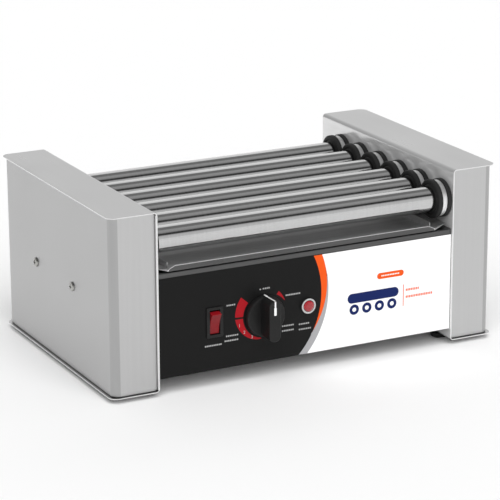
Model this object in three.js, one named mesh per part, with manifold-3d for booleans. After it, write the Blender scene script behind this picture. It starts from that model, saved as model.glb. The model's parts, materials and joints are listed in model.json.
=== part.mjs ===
// Countertop hot dog roller grill: two stainless end housings carry six heated, chain-driven
// rollers over a pull-out drip tray, with the controls on the front panel between them.
// Millimetres, +Z up. The front faces -Y, the rollers lie along X, and the origin is on the
// table under the middle of the machine, counted from the knob's front to the rear edge.
import * as THREE from "three";
import { mergeVertices } from "three/addons/utils/BufferGeometryUtils.js";
import Module from "manifold-3d";

const wasm = await Module();
wasm.setup();

// ---- driving dimensions -------------------------------------------------------------------
// Heights are measured from the underside of the end frames, which the feet lift off the table.
const OVERALL_WIDTH = 445;
const OVERALL_DEPTH = 281;
const HOUSING_HEIGHT = 187;
const FOOT_HEIGHT = 5.5;
const HOUSING_WIDTH = 52.7;
const SHEET = 1;
const GAP = 0.3;

const HALF_WIDTH = OVERALL_WIDTH / 2;
const HALF_DEPTH = OVERALL_DEPTH / 2;
const WEB_FACE = HALF_WIDTH - HOUSING_WIDTH; // inward face of each end frame's web
const WEB_BACK = WEB_FACE + SHEET;
const BEND_RADIUS = 4;
const FLANGE_CORNER_RADIUS = 9;
const COVER_INSET = 3; // how far the frame's lips overhang the cover
const COVER_CORNER_RADIUS = 8;
const COVER_SIDE = HALF_WIDTH - COVER_INSET;
const COVER_FRONT = HALF_DEPTH - COVER_INSET;

// Rollers
const ROLLER_COUNT = 6;
const ROLLER_PITCH = 42.5;
const ROLLER_RADIUS = 13.45;
const ROLLER_WALL = 1.2;
const ROLLER_LEFT = -WEB_FACE + 2.5;
const ROLLER_RIGHT = 153;
const FRONT_ROLLER_Y = -119.5;
const ROLLER_Z = 153;
const JOURNAL_RADIUS = 7;
const JOURNAL_LEFT = -184;
const JOURNAL_RIGHT = 194;
const BORE_RADIUS = 4.9;
const PLUG_LENGTH = 8;
const rollerY = (i) => FRONT_ROLLER_Y + i * ROLLER_PITCH;

// Roller end seals and bearings
const SEAL_RADIUS = 20.5;
const SLEEVE_RADIUS = 19.3; // the steel band between the two black collars on the right
const SLEEVE_START = 158.6;
const SLEEVE_END = 164.4;
const SEAL_BORE_RADIUS = 7.5;
const SPIGOT_RADIUS = 10.8;
const WEB_HOLE_RADIUS = 11.3;

// Heating elements
const ELEMENT_RADIUS = 4;
const ELEMENT_END = 204;
const STUD_RADIUS = 2;
const STUD_LENGTH = 8;
const BRACKET_X = 198;
const BRACKET_HALF_HEIGHT = 11;
const BRACKET_HALF_DEPTH = 135.5;

// Chain drive
const TEETH = 12;
const CHAIN_PITCH = 6.35;
const CHAIN_ROLLER_RADIUS = 1.65;
const PITCH_RADIUS = CHAIN_PITCH / (2 * Math.sin(Math.PI / TEETH));
const TIP_RADIUS = (CHAIN_PITCH * (0.6 + 1 / Math.tan(Math.PI / TEETH))) / 2;
const ROOT_RADIUS = PITCH_RADIUS - CHAIN_ROLLER_RADIUS;
const SPROCKET_X = 180; // middle plane of the chain
const SPROCKET_THICKNESS = 2.4;
const HUB_RADIUS = 9;
const HUB_END = 190;
const CHAIN_PLATE = 1;
const CHAIN_PLATE_HALF_HEIGHT = 2.6;
const CHAIN_SLOT = 3.6; // clear width between the link plates, where the teeth run
const MOTOR_Y = -13;
const MOTOR_Z = 70;
const MOTOR_SHAFT_RADIUS = 4;
const GEARBOX = { halfDepth: 32, halfHeight: 30, length: 26, corner: 6 };
const MOTOR_CAN = { radius: 27, end: 62 };
const MOTOR_BOSS_RADIUS = 10.5;

// Front panel and what is on it
const PANEL_Y = -HALF_DEPTH + 2.6;
const PANEL_THICKNESS = 1.2;
const PANEL_BOTTOM = 14.2;
const PANEL_TOP = 123.2;
const PANEL_HALF_WIDTH = WEB_FACE - GAP;
const OVERLAY_THICKNESS = 0.5;
const OVERLAY_TOP = 117.5;
const OVERLAY_Y = PANEL_Y - 0.1;
const TRIM_Y = OVERLAY_Y - OVERLAY_THICKNESS - 0.1; // back face of the bezels and the lamp ring
const SWITCH = { x: -107.7, z: 63.9, width: 18.5, height: 32 };
const CONTROL = { x: -51.5, z: 62.5 };
const LAMP = { x: -1.4, z: 65.2, ringRadius: 8.6, lensRadius: 5.8 };

// Drip tray and the deck it slides on
const DECK_TOP = PANEL_TOP;
const TRAY_FLOOR = DECK_TOP + 0.4;
const TRAY_FRONT = -HALF_DEPTH + 1.5;
const TRAY_BACK = 118;
const TRAY_LEFT = -158.4; // the seals leave the tray more room at the left than at the right
const TRAY_RIGHT = 149.4;
const TRAY_TAB = WEB_FACE - 1.3; // the side tabs reach to here, behind the cut-back corners
const TRAY_LEFT_CUT = 10;
const TRAY_RIGHT_CUT = 11.5;
const TRAY_WALL_INSET = 2;
const TRAY_LIP_TOP = 129.6;
const TRAY_TAB_TOP = 126.3;
const TRAY_WALL_TOP = 131.8;
const TRAY_SHEET = 0.9;

// Screws that hold the end covers to posts on the end frames
const COVER_SCREWS = [
  { name: "front", y: -40 },
  { name: "rear", y: 55 },
];
const SCREW_Z = 90.4;
const SCREW_HEAD_RADIUS = 5;
const SCREW_SHANK_RADIUS = 1.6;
const SCREW_LENGTH = 11;
const SCREW_HOLE_RADIUS = 2.1;
const POST_RADIUS = 4;

// ---- finishes -----------------------------------------------------------------------------
const finish = (color, roughness, metalness) =>
  new THREE.MeshStandardMaterial({ color, roughness, metalness });
const stainless = finish(0xbdbdbd, 0.38, 1);
const chrome = finish(0xd8d8d8, 0.12, 1);
const zincSteel = finish(0xa9aaa6, 0.45, 1);
const chainSteel = finish(0x6d6a64, 0.5, 1);
const elementSheath = finish(0x5b564d, 0.6, 0.9);
const blackRubber = finish(0x191919, 0.8, 0);
const blackPlastic = finish(0x1d1d1f, 0.5, 0);
const printedFilm = finish(0x232326, 0.35, 0);
const motorPaint = finish(0x3c4046, 0.55, 0.2);
const redPlastic = finish(0xb01a20, 0.3, 0);
const redLens = finish(0xc4161c, 0.15, 0);

// ---- solid modelling helpers --------------------------------------------------------------
function solidOf(geometry) {
  const bare = geometry.clone();
  bare.deleteAttribute("normal");
  bare.deleteAttribute("uv");
  const merged = mergeVertices(bare, 1e-4);
  return new wasm.Manifold(
    new wasm.Mesh({
      numProp: 3,
      vertProperties: merged.attributes.position.array,
      triVerts: new Uint32Array(merged.index.array),
    }),
  );
}

function geometryOf(solid) {
  const mesh = solid.getMesh();
  const indexed = new THREE.BufferGeometry();
  indexed.setAttribute("position", new THREE.BufferAttribute(mesh.vertProperties, 3));
  indexed.setIndex(new THREE.BufferAttribute(mesh.triVerts, 1));
  const geometry = indexed.toNonIndexed();
  geometry.computeVertexNormals();
  return geometry;
}

const join = (first, ...rest) =>
  geometryOf(rest.reduce((sum, piece) => sum.add(solidOf(piece)), solidOf(first)));
const cut = (first, ...tools) =>
  geometryOf(tools.reduce((left, tool) => left.subtract(solidOf(tool)), solidOf(first)));
const common = (first, second) => geometryOf(solidOf(first).intersect(solidOf(second)));

function box(x0, x1, y0, y1, z0, z1) {
  const geometry = new THREE.BoxGeometry(Math.abs(x1 - x0), Math.abs(y1 - y0), Math.abs(z1 - z0));
  return geometry.translate((x0 + x1) / 2, (y0 + y1) / 2, (z0 + z1) / 2);
}

// A solid of revolution. Its profile is a list of [distance along the axis, radius].
function turned(profile, segments) {
  const closed = [...profile, profile[0]];
  let area = 0;
  for (let i = 0; i < profile.length; i++)
    area += closed[i][0] * closed[i + 1][1] - closed[i + 1][0] * closed[i][1];
  const outward = area > 0 ? [...closed].reverse() : closed;
  const onAxis = profile[0][1] === 0 && profile[profile.length - 1][1] === 0;
  const kept = onAxis ? outward.filter((_, i) => i !== (area > 0 ? 0 : closed.length - 1)) : outward;
  return new THREE.LatheGeometry(kept.map(([along, radius]) => new THREE.Vector2(radius, along)), segments);
}
const AXIS_X = new THREE.Matrix4().makeRotationZ(-Math.PI / 2);
const AXIS_Z = new THREE.Matrix4().makeRotationX(Math.PI / 2);
const turnedAlongX = (profile, segments) => turned(profile, segments).applyMatrix4(AXIS_X);
const turnedAlongY = (profile, segments) => turned(profile, segments);
const turnedAlongZ = (profile, segments) => turned(profile, segments).applyMatrix4(AXIS_Z);

function rod(axis, radius, from, to, segments = 16) {
  const profile = [
    [from, 0],
    [from, radius],
    [to, radius],
    [to, 0],
  ];
  return { x: turnedAlongX, y: turnedAlongY, z: turnedAlongZ }[axis](profile, segments);
}

// Extrusions of an outline drawn in the plane across the named axis.
const extrude = (shape, depth, curveSegments) =>
  new THREE.ExtrudeGeometry(shape, { depth, bevelEnabled: false, curveSegments });
const unit = (x, y, z) => new THREE.Vector3(x, y, z);
const YZ_PLANE = new THREE.Matrix4().makeBasis(unit(0, 1, 0), unit(0, 0, 1), unit(1, 0, 0));
const XZ_PLANE = new THREE.Matrix4().makeBasis(unit(1, 0, 0), unit(0, 0, 1), unit(0, -1, 0));
const alongX = (shape, x0, x1, curves = 6) =>
  extrude(shape, x1 - x0, curves).applyMatrix4(YZ_PLANE).translate(x0, 0, 0);
const alongY = (shape, y0, y1, curves = 6) =>
  extrude(shape, y1 - y0, curves).applyMatrix4(XZ_PLANE).translate(0, y1, 0);
const alongZ = (shape, z0, z1, curves = 6) => extrude(shape, z1 - z0, curves).translate(0, 0, z0);

const polygon = (points) => new THREE.Shape(points.map(([u, v]) => new THREE.Vector2(u, v)));

// A rectangle whose corners at the low and the high end of u can have different radii.
function roundedBox(u0, u1, v0, v1, lowRadius, highRadius) {
  const shape = new THREE.Shape();
  const corners = [
    [u1 - highRadius, v0 + highRadius, highRadius, -Math.PI / 2],
    [u1 - highRadius, v1 - highRadius, highRadius, 0],
    [u0 + lowRadius, v1 - lowRadius, lowRadius, Math.PI / 2],
    [u0 + lowRadius, v0 + lowRadius, lowRadius, Math.PI],
  ];
  for (const [u, v, radius, start] of corners) {
    if (radius > 0) shape.absarc(u, v, radius, start, start + Math.PI / 2);
    else if (shape.curves.length || shape.currentPoint.lengthSq()) shape.lineTo(u, v);
    else shape.moveTo(u, v);
  }
  return shape;
}

// Outlines drawn for the right-hand end are mirrored for the left-hand one.
const MIRROR = new THREE.Matrix4().makeScale(-1, 1, 1);
function onSide(side, geometry) {
  if (side > 0) return geometry;
  const mirrored = geometry.index ? geometry.toNonIndexed() : geometry.clone();
  mirrored.applyMatrix4(MIRROR);
  const position = mirrored.attributes.position;
  for (let i = 0; i < position.count; i += 3) {
    const a = unit().fromBufferAttribute(position, i);
    const b = unit().fromBufferAttribute(position, i + 1);
    position.setXYZ(i, b.x, b.y, b.z);
    position.setXYZ(i + 1, a.x, a.y, a.z);
  }
  mirrored.computeVertexNormals();
  return mirrored;
}

// ---- the machine's scene graph ------------------------------------------------------------
const grill = new THREE.Group();
const machine = new THREE.Group();
machine.position.z = FOOT_HEIGHT;
grill.add(machine);

function add(name, geometry, material, x = 0, y = 0, z = 0) {
  const mesh = new THREE.Mesh(geometry, material);
  mesh.name = name;
  mesh.position.set(x, y, z);
  machine.add(mesh);
}

// ---- end housings -------------------------------------------------------------------------
// A C-shaped channel: web, top and bottom flange with rounded lips, and two cover posts.
function endFrame(side) {
  const outer = roundedBox(WEB_FACE, HALF_WIDTH + 20, 0, HOUSING_HEIGHT, BEND_RADIUS, 0);
  const inner = roundedBox(
    WEB_BACK,
    HALF_WIDTH + 30,
    SHEET,
    HOUSING_HEIGHT - SHEET,
    BEND_RADIUS - SHEET,
    0,
  );
  const channel = cut(
    alongY(outer, -HALF_DEPTH, HALF_DEPTH, 3),
    alongY(inner, -HALF_DEPTH - 5, HALF_DEPTH + 5, 3),
  );
  const plan = roundedBox(WEB_FACE, HALF_WIDTH, -HALF_DEPTH, HALF_DEPTH, 0, FLANGE_CORNER_RADIUS);
  const trimmed = common(channel, alongZ(plan, -5, HOUSING_HEIGHT + 5, 5));
  const holes = [];
  for (let i = 0; i < ROLLER_COUNT; i++)
    holes.push(
      rod("x", WEB_HOLE_RADIUS, WEB_FACE - 3, WEB_BACK + 3, 12).translate(0, rollerY(i), ROLLER_Z),
    );
  if (side > 0)
    holes.push(
      rod("x", WEB_HOLE_RADIUS, WEB_FACE - 3, WEB_BACK + 3, 16).translate(0, MOTOR_Y, MOTOR_Z),
    );
  const posts = COVER_SCREWS.map(({ y }) =>
    turnedAlongX(
      [
        [WEB_FACE + SHEET / 2, 0],
        [WEB_FACE + SHEET / 2, POST_RADIUS],
        [COVER_SIDE - SHEET - GAP, POST_RADIUS],
        [COVER_SIDE - SHEET - GAP, SCREW_HOLE_RADIUS],
        [COVER_SIDE - SCREW_LENGTH - 3, SCREW_HOLE_RADIUS],
        [COVER_SIDE - SCREW_LENGTH - 3, 0],
      ],
      10,
    ).translate(0, y, SCREW_Z),
  );
  return onSide(side, join(cut(trimmed, ...holes), ...posts));
}

// A U-shaped cover that closes the channel: front, outer side and rear in one bent sheet.
function endCover(side) {
  const inward = WEB_BACK + GAP;
  const outer = roundedBox(inward, COVER_SIDE, -COVER_FRONT, COVER_FRONT, 0, COVER_CORNER_RADIUS);
  const inner = roundedBox(
    inward - 10,
    COVER_SIDE - SHEET,
    -COVER_FRONT + SHEET,
    COVER_FRONT - SHEET,
    0,
    COVER_CORNER_RADIUS - SHEET,
  );
  const low = SHEET + GAP + 0.3;
  const high = HOUSING_HEIGHT - low;
  const bent = cut(alongZ(outer, low, high, 4), alongZ(inner, low - 5, high + 5, 4));
  // the corners next to the frame's bends are rounded to clear them
  const face = roundedBox(inward, COVER_SIDE + 5, low, high, BEND_RADIUS - 0.5, 0);
  const trimmed = common(bent, alongY(face, -HALF_DEPTH, HALF_DEPTH, 3));
  const holes = COVER_SCREWS.map(({ y }) =>
    rod("x", SCREW_HOLE_RADIUS, COVER_SIDE - 5, COVER_SIDE + 5, 10).translate(0, y, SCREW_Z),
  );
  return onSide(side, cut(trimmed, ...holes));
}

// Pan-head screw with its shank along X and its head outside the cover.
function coverScrew(side) {
  const seat = COVER_SIDE + 0.1;
  return onSide(
    side,
    turnedAlongX(
      [
        [seat - SCREW_LENGTH, 0],
        [seat - SCREW_LENGTH, SCREW_SHANK_RADIUS],
        [seat, SCREW_SHANK_RADIUS],
        [seat, SCREW_HEAD_RADIUS],
        [seat + 1.2, SCREW_HEAD_RADIUS - 0.1],
        [seat + 2.1, SCREW_HEAD_RADIUS - 1.6],
        [seat + 2.4, 0],
      ],
      12,
    ),
  );
}

for (const [word, side] of [
  ["left", -1],
  ["right", 1],
]) {
  add(word + "_end_frame", endFrame(side), stainless);
  add(word + "_end_cover", endCover(side), stainless);
  for (const { name, y } of COVER_SCREWS)
    add("cover_screw_" + word + "_" + name, coverScrew(side), zincSteel, 0, y, SCREW_Z);
}

// ---- feet ---------------------------------------------------------------------------------
const FOOT_X = 176.5;
const FOOT_Y = 107;
const footProfile = [
  [-FOOT_HEIGHT, 0],
  [-FOOT_HEIGHT, 7.6],
  [-FOOT_HEIGHT + 1.4, 9.3],
  [-0.1, 9.7],
  [-0.1, 0],
];
for (const [across, x] of [
  ["left", -FOOT_X],
  ["right", FOOT_X],
])
  for (const [along, y] of [
    ["front", -FOOT_Y],
    ["rear", FOOT_Y],
  ])
    add("foot_" + along + "_" + across, turnedAlongZ(footProfile, 18), blackRubber, x, y, 0);

// ---- front panel, base, deck --------------------------------------------------------------
const PANEL_BACK = PANEL_Y + PANEL_THICKNESS;
const TOP_RETURN = -122;
const BOTTOM_RETURN = -124;
const SWITCH_BODY = { width: 14, height: 28.6 };
const BUSH_RADIUS = 4.7;
const LAMP_BARREL_RADIUS = 6.2;

// Cutting tools for the switch, the control bush and the lamp, with some clearance.
function panelHoles(clearance) {
  const halfWidth = SWITCH_BODY.width / 2 + clearance;
  const halfHeight = SWITCH_BODY.height / 2 + clearance;
  const before = PANEL_Y - 5;
  const behind = PANEL_Y + 5;
  return [
    box(
      SWITCH.x - halfWidth,
      SWITCH.x + halfWidth,
      before,
      behind,
      SWITCH.z - halfHeight,
      SWITCH.z + halfHeight,
    ),
    rod("y", BUSH_RADIUS + clearance, before, behind, 14).translate(CONTROL.x, 0, CONTROL.z),
    rod("y", LAMP_BARREL_RADIUS + clearance, before, behind, 16).translate(LAMP.x, 0, LAMP.z),
  ];
}

function frontPanel() {
  const section = polygon([
    [PANEL_Y, PANEL_BOTTOM],
    [BOTTOM_RETURN, PANEL_BOTTOM],
    [BOTTOM_RETURN, PANEL_BOTTOM + PANEL_THICKNESS],
    [PANEL_BACK, PANEL_BOTTOM + PANEL_THICKNESS],
    [PANEL_BACK, PANEL_TOP - PANEL_THICKNESS],
    [TOP_RETURN, PANEL_TOP - PANEL_THICKNESS],
    [TOP_RETURN, PANEL_TOP],
    [PANEL_Y, PANEL_TOP],
  ]);
  return cut(alongX(section, -PANEL_HALF_WIDTH, PANEL_HALF_WIDTH), ...panelHoles(0.4));
}
add("front_panel", frontPanel(), stainless);

const overlaySheet = box(
  -PANEL_HALF_WIDTH + 0.3,
  PANEL_HALF_WIDTH - 0.3,
  OVERLAY_Y - OVERLAY_THICKNESS,
  OVERLAY_Y,
  PANEL_BOTTOM + 0.6,
  OVERLAY_TOP,
);
add("control_overlay", cut(overlaySheet, ...panelHoles(0.7)), printedFilm);

// Base pan and rear wall, bent from one sheet, with the cable entry at the rear.
const BASE_BOTTOM = PANEL_BOTTOM + PANEL_THICKNESS + GAP;
const REAR_Y = HALF_DEPTH - 2.8;
const REAR_TOP = 137;
const GLAND = { x: -120, z: 46, hole: 8.3 };
const VENT = { count: 8, x: 20, pitch: 14, width: 5, low: 36, high: 76 };
function baseChassis() {
  const section = polygon([
    [PANEL_BACK + GAP, BASE_BOTTOM],
    [REAR_Y, BASE_BOTTOM],
    [REAR_Y, REAR_TOP],
    [REAR_Y - 9, REAR_TOP],
    [REAR_Y - 9, REAR_TOP - PANEL_THICKNESS],
    [REAR_Y - PANEL_THICKNESS, REAR_TOP - PANEL_THICKNESS],
    [REAR_Y - PANEL_THICKNESS, BASE_BOTTOM + PANEL_THICKNESS],
    [PANEL_BACK + GAP, BASE_BOTTOM + PANEL_THICKNESS],
  ]);
  const hole = rod("y", GLAND.hole, REAR_Y - 6, REAR_Y + 6, 16).translate(GLAND.x, 0, GLAND.z);
  const slots = [];
  for (let i = 0; i < VENT.count; i++) {
    const x = VENT.x + i * VENT.pitch;
    slots.push(box(x, x + VENT.width, REAR_Y - 6, REAR_Y + 6, VENT.low, VENT.high));
  }
  return cut(alongX(section, -PANEL_HALF_WIDTH, PANEL_HALF_WIDTH), hole, ...slots);
}
add("base_chassis", baseChassis(), stainless);

const DECK_FRONT = TOP_RETURN + GAP;
const DECK_BACK = REAR_Y - PANEL_THICKNESS - GAP;
add(
  "tray_deck",
  box(
    -PANEL_HALF_WIDTH,
    PANEL_HALF_WIDTH,
    DECK_FRONT,
    DECK_BACK,
    DECK_TOP - PANEL_THICKNESS,
    DECK_TOP,
  ),
  stainless,
);

// A strain-relief bush through the rear wall: flange outside, collar inside, open bore.
function cordGland() {
  const outside = REAR_Y + 0.1;
  const inside = REAR_Y - PANEL_THICKNESS - 0.1;
  return turnedAlongY(
    [
      [outside + 2.5, 4.5],
      [outside + 2.5, 9.5],
      [outside, 11],
      [outside, 7.9],
      [inside, 7.9],
      [inside, 10.5],
      [inside - 7, 9.5],
      [inside - 7, 4.5],
    ],
    16,
  );
}
add("cord_gland", cordGland(), blackPlastic, GLAND.x, 0, GLAND.z);

// ---- drip tray ----------------------------------------------------------------------------
// A shallow pan. A tab at each side stands clear of the deck and reaches the web; the tabs are
// cut back at their front corners.
function dripTray() {
  const top = TRAY_FLOOR + TRAY_SHEET;
  const root = TRAY_FLOOR + TRAY_SHEET / 2; // the walls start half a sheet down in the floor
  const backStart = TRAY_BACK - TRAY_SHEET;
  const wallFront = TRAY_FRONT + 7;
  const wallBack = backStart + TRAY_SHEET / 2;
  const wallLeft = TRAY_LEFT + TRAY_WALL_INSET;
  const wallRight = TRAY_RIGHT - TRAY_WALL_INSET;
  const tab = (side, edge, wall, cutBack) => {
    const corner = TRAY_FRONT + TRAY_SHEET / 2;
    const points = [
      [wall, corner],
      [edge, corner],
      [side * TRAY_TAB, TRAY_FRONT + cutBack],
      [side * TRAY_TAB, TRAY_BACK],
      [wall, TRAY_BACK],
    ];
    return alongZ(polygon(side > 0 ? points : points.reverse()), TRAY_TAB_TOP - TRAY_SHEET, TRAY_TAB_TOP);
  };
  const slope = 7.2;
  const lipLeft = TRAY_LEFT + 0.5;
  const lipRight = TRAY_RIGHT - 0.5;
  const lip = polygon([
    [lipLeft, root],
    [lipRight, root],
    [lipRight, TRAY_TAB_TOP],
    [lipRight - slope, TRAY_LIP_TOP],
    [lipLeft + slope, TRAY_LIP_TOP],
    [lipLeft, TRAY_TAB_TOP],
  ]);
  return join(
    box(lipLeft, lipRight, TRAY_FRONT, TRAY_BACK, TRAY_FLOOR, top),
    alongY(lip, TRAY_FRONT, TRAY_FRONT + TRAY_SHEET),
    tab(-1, lipLeft, wallLeft + TRAY_SHEET / 2, TRAY_LEFT_CUT),
    tab(1, lipRight, wallRight - TRAY_SHEET / 2, TRAY_RIGHT_CUT),
    box(wallLeft, wallLeft + TRAY_SHEET, wallFront, wallBack, root, TRAY_WALL_TOP),
    box(wallRight - TRAY_SHEET, wallRight, wallFront, wallBack, root, TRAY_WALL_TOP),
    box(wallLeft, wallRight, backStart, TRAY_BACK, root, TRAY_WALL_TOP),
  );
}
add("drip_tray", dripTray(), stainless);

// ---- rocker switch ------------------------------------------------------------------------
const BEZEL_THICKNESS = 1.6;
const BEZEL_FRONT = TRIM_Y - BEZEL_THICKNESS;
const ROCKER = { halfWidth: 5.4, halfLength: 11.4, tilt: 0.3 };
const ROCKER_PIVOT_Y = BEZEL_FRONT + 3.9;
const ROCKER_CAVITY_DEPTH = 12;

function switchHousing() {
  const flange = roundedBox(
    -SWITCH.width / 2,
    SWITCH.width / 2,
    -SWITCH.height / 2,
    SWITCH.height / 2,
    1.5,
    1.5,
  );
  const body = box(
    -SWITCH_BODY.width / 2,
    SWITCH_BODY.width / 2,
    TRIM_Y - 0.2,
    TRIM_Y + 24,
    -SWITCH_BODY.height / 2,
    SWITCH_BODY.height / 2,
  );
  const cavity = box(
    -ROCKER.halfWidth - 0.4,
    ROCKER.halfWidth + 0.4,
    BEZEL_FRONT - 2,
    BEZEL_FRONT + ROCKER_CAVITY_DEPTH,
    -ROCKER.halfLength - 1.7,
    ROCKER.halfLength + 1.7,
  );
  return cut(join(alongY(flange, BEZEL_FRONT, TRIM_Y, 3), body), cavity);
}
add("switch_housing", switchHousing(), blackPlastic, SWITCH.x, 0, SWITCH.z);

// The rocker's side view, in [y, z] from its pivot, before it is tilted: a shallow V face
// in front and a rounded heel behind. It stands with its lower end pressed in.
function switchRocker() {
  const reach = ROCKER.halfLength;
  const side = polygon([
    [-5.3, -reach],
    [-3.7, 0],
    [-5.3, reach],
    [1.5, reach],
    [4.6, 4],
    [4.6, -4],
    [1.5, -reach],
  ]);
  return alongX(side, -ROCKER.halfWidth, ROCKER.halfWidth).rotateX(ROCKER.tilt);
}
add("switch_rocker", switchRocker(), redPlastic, SWITCH.x, ROCKER_PIVOT_Y, SWITCH.z);

// ---- heat control -------------------------------------------------------------------------
const SHAFT_RADIUS = 3;
const SHAFT_BACK = PANEL_BACK + 9;
const KNOB_BACK = TRIM_Y - 0.3;
const SKIRT_RADIUS = 21.8;
const SKIRT_FRONT = KNOB_BACK - 5.8;
const GRIP_FRONT = SKIRT_FRONT - 18.6;
const GRIP_HALF_WIDTH = 6.6;
const GRIP_HALF_LENGTH = 21.6;
const BUSH_FRONT = TRIM_Y - 2.6;

// A thermostat in a square case behind the panel, held by its threaded bush and nut.
function heatControl() {
  const nut = new THREE.CylinderGeometry(7.4, 7.4, 1.8, 6);
  nut.translate(0, BUSH_FRONT + 1.3, 0);
  const casing = roundedBox(-17, 17, -17, 17, 2, 2);
  const bush = rod("y", BUSH_RADIUS, BUSH_FRONT, PANEL_BACK + 3, 14);
  const bore = rod("y", SHAFT_RADIUS + 0.4, BUSH_FRONT - 5, SHAFT_BACK + 1, 12);
  const block = alongY(casing, PANEL_BACK + GAP, PANEL_BACK + 24, 2);
  return cut(join(block, bush, nut), bore);
}
add("heat_control", heatControl(), blackPlastic, CONTROL.x, 0, CONTROL.z);
add(
  "control_shaft",
  rod("y", SHAFT_RADIUS, GRIP_FRONT + 6, SHAFT_BACK, 12),
  zincSteel,
  CONTROL.x,
  0,
  CONTROL.z,
);

// A round skirt with a tall grip bar across it. Its underside is hollow over the nut.
function heatKnob() {
  const skirt = turnedAlongY(
    [
      [KNOB_BACK, 0],
      [KNOB_BACK, SKIRT_RADIUS],
      [SKIRT_FRONT + 1.5, SKIRT_RADIUS - 0.4],
      [SKIRT_FRONT, SKIRT_RADIUS - 1.6],
      [SKIRT_FRONT, 0],
    ],
    24,
  );
  const gripOutline = roundedBox(
    -GRIP_HALF_WIDTH,
    GRIP_HALF_WIDTH,
    -GRIP_HALF_LENGTH,
    GRIP_HALF_LENGTH,
    GRIP_HALF_WIDTH - 0.6,
    GRIP_HALF_WIDTH - 0.6,
  );
  const grip = alongY(gripOutline, GRIP_FRONT, SKIRT_FRONT + 1, 4);
  const hollow = rod("y", 9, BUSH_FRONT - 1, KNOB_BACK + 5, 16);
  const bore = rod("y", SHAFT_RADIUS + 0.3, GRIP_FRONT + 5, KNOB_BACK + 5, 12);
  return cut(join(skirt, grip), hollow, bore);
}
add("heat_knob", heatKnob(), blackPlastic, CONTROL.x, 0, CONTROL.z);

// ---- pilot lamp ---------------------------------------------------------------------------
const LAMP_RING_FRONT = TRIM_Y - 2.8;
add(
  "pilot_body",
  turnedAlongY(
    [
      [LAMP_RING_FRONT, LAMP.lensRadius + 0.4],
      [LAMP_RING_FRONT, LAMP.ringRadius - 0.9],
      [LAMP_RING_FRONT + 0.9, LAMP.ringRadius],
      [TRIM_Y, LAMP.ringRadius],
      [TRIM_Y, LAMP_BARREL_RADIUS],
      [PANEL_BACK + 20, LAMP_BARREL_RADIUS],
      [PANEL_BACK + 20, 0],
      [TRIM_Y + 1, 0],
      [TRIM_Y + 1, LAMP.lensRadius - 1],
      [TRIM_Y - 0.8, LAMP.lensRadius + 0.4],
    ].reverse(),
    20,
  ),
  chrome,
  LAMP.x,
  0,
  LAMP.z,
);
add(
  "pilot_lens",
  turnedAlongY(
    [
      [TRIM_Y - 1.1, 0],
      [TRIM_Y - 1.1, LAMP.lensRadius],
      [LAMP_RING_FRONT - 0.6, LAMP.lensRadius],
      [LAMP_RING_FRONT - 2, LAMP.lensRadius - 1.8],
      [LAMP_RING_FRONT - 2, 0],
    ],
    16,
  ),
  redLens,
  LAMP.x,
  0,
  LAMP.z,
);

// ---- rollers, seals, elements and sprockets -----------------------------------------------
// A thin tube closed by two bored plugs that carry the journals.
const rollerGeometry = turnedAlongX(
  [
    [JOURNAL_LEFT, BORE_RADIUS],
    [JOURNAL_LEFT, JOURNAL_RADIUS],
    [ROLLER_LEFT, JOURNAL_RADIUS],
    [ROLLER_LEFT, ROLLER_RADIUS],
    [ROLLER_RIGHT, ROLLER_RADIUS],
    [ROLLER_RIGHT, JOURNAL_RADIUS],
    [JOURNAL_RIGHT, JOURNAL_RADIUS],
    [JOURNAL_RIGHT, BORE_RADIUS],
    [ROLLER_RIGHT - PLUG_LENGTH, BORE_RADIUS],
    [ROLLER_RIGHT - PLUG_LENGTH, ROLLER_RADIUS - ROLLER_WALL],
    [ROLLER_LEFT + PLUG_LENGTH, ROLLER_RADIUS - ROLLER_WALL],
    [ROLLER_LEFT + PLUG_LENGTH, BORE_RADIUS],
  ],
  18,
);

// Right end: a black collar, a steel band, a second collar, and a spigot through the web.
const rightBearingGeometry = turnedAlongX(
  [
    [ROLLER_RIGHT + GAP, SEAL_BORE_RADIUS],
    [ROLLER_RIGHT + GAP, SEAL_RADIUS],
    [SLEEVE_START, SEAL_RADIUS],
    [SLEEVE_START, SLEEVE_RADIUS],
    [SLEEVE_END, SLEEVE_RADIUS],
    [SLEEVE_END, SEAL_RADIUS],
    [WEB_FACE - GAP, SEAL_RADIUS],
    [WEB_FACE - GAP, SPIGOT_RADIUS],
    [WEB_BACK + 3, SPIGOT_RADIUS],
    [WEB_BACK + 3, SEAL_BORE_RADIUS],
  ],
  16,
);

// Left end: a thin black seal against the web and its spigot through it.
const leftBearingGeometry = turnedAlongX(
  [
    [ROLLER_LEFT - GAP, SEAL_BORE_RADIUS],
    [ROLLER_LEFT - GAP, SEAL_RADIUS - 0.5],
    [-WEB_FACE + GAP, SEAL_RADIUS - 0.5],
    [-WEB_FACE + GAP, SPIGOT_RADIUS],
    [-WEB_BACK - 4, SPIGOT_RADIUS],
    [-WEB_BACK - 4, SEAL_BORE_RADIUS],
  ],
  16,
);

// Straight sheathed element with a terminal stud at each end. It stands still in its roller.
const elementGeometry = turnedAlongX(
  [
    [-ELEMENT_END - STUD_LENGTH, 0],
    [-ELEMENT_END - STUD_LENGTH, STUD_RADIUS],
    [-ELEMENT_END, STUD_RADIUS],
    [-ELEMENT_END, ELEMENT_RADIUS],
    [ELEMENT_END, ELEMENT_RADIUS],
    [ELEMENT_END, STUD_RADIUS],
    [ELEMENT_END + STUD_LENGTH, STUD_RADIUS],
    [ELEMENT_END + STUD_LENGTH, 0],
  ],
  8,
);

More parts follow.
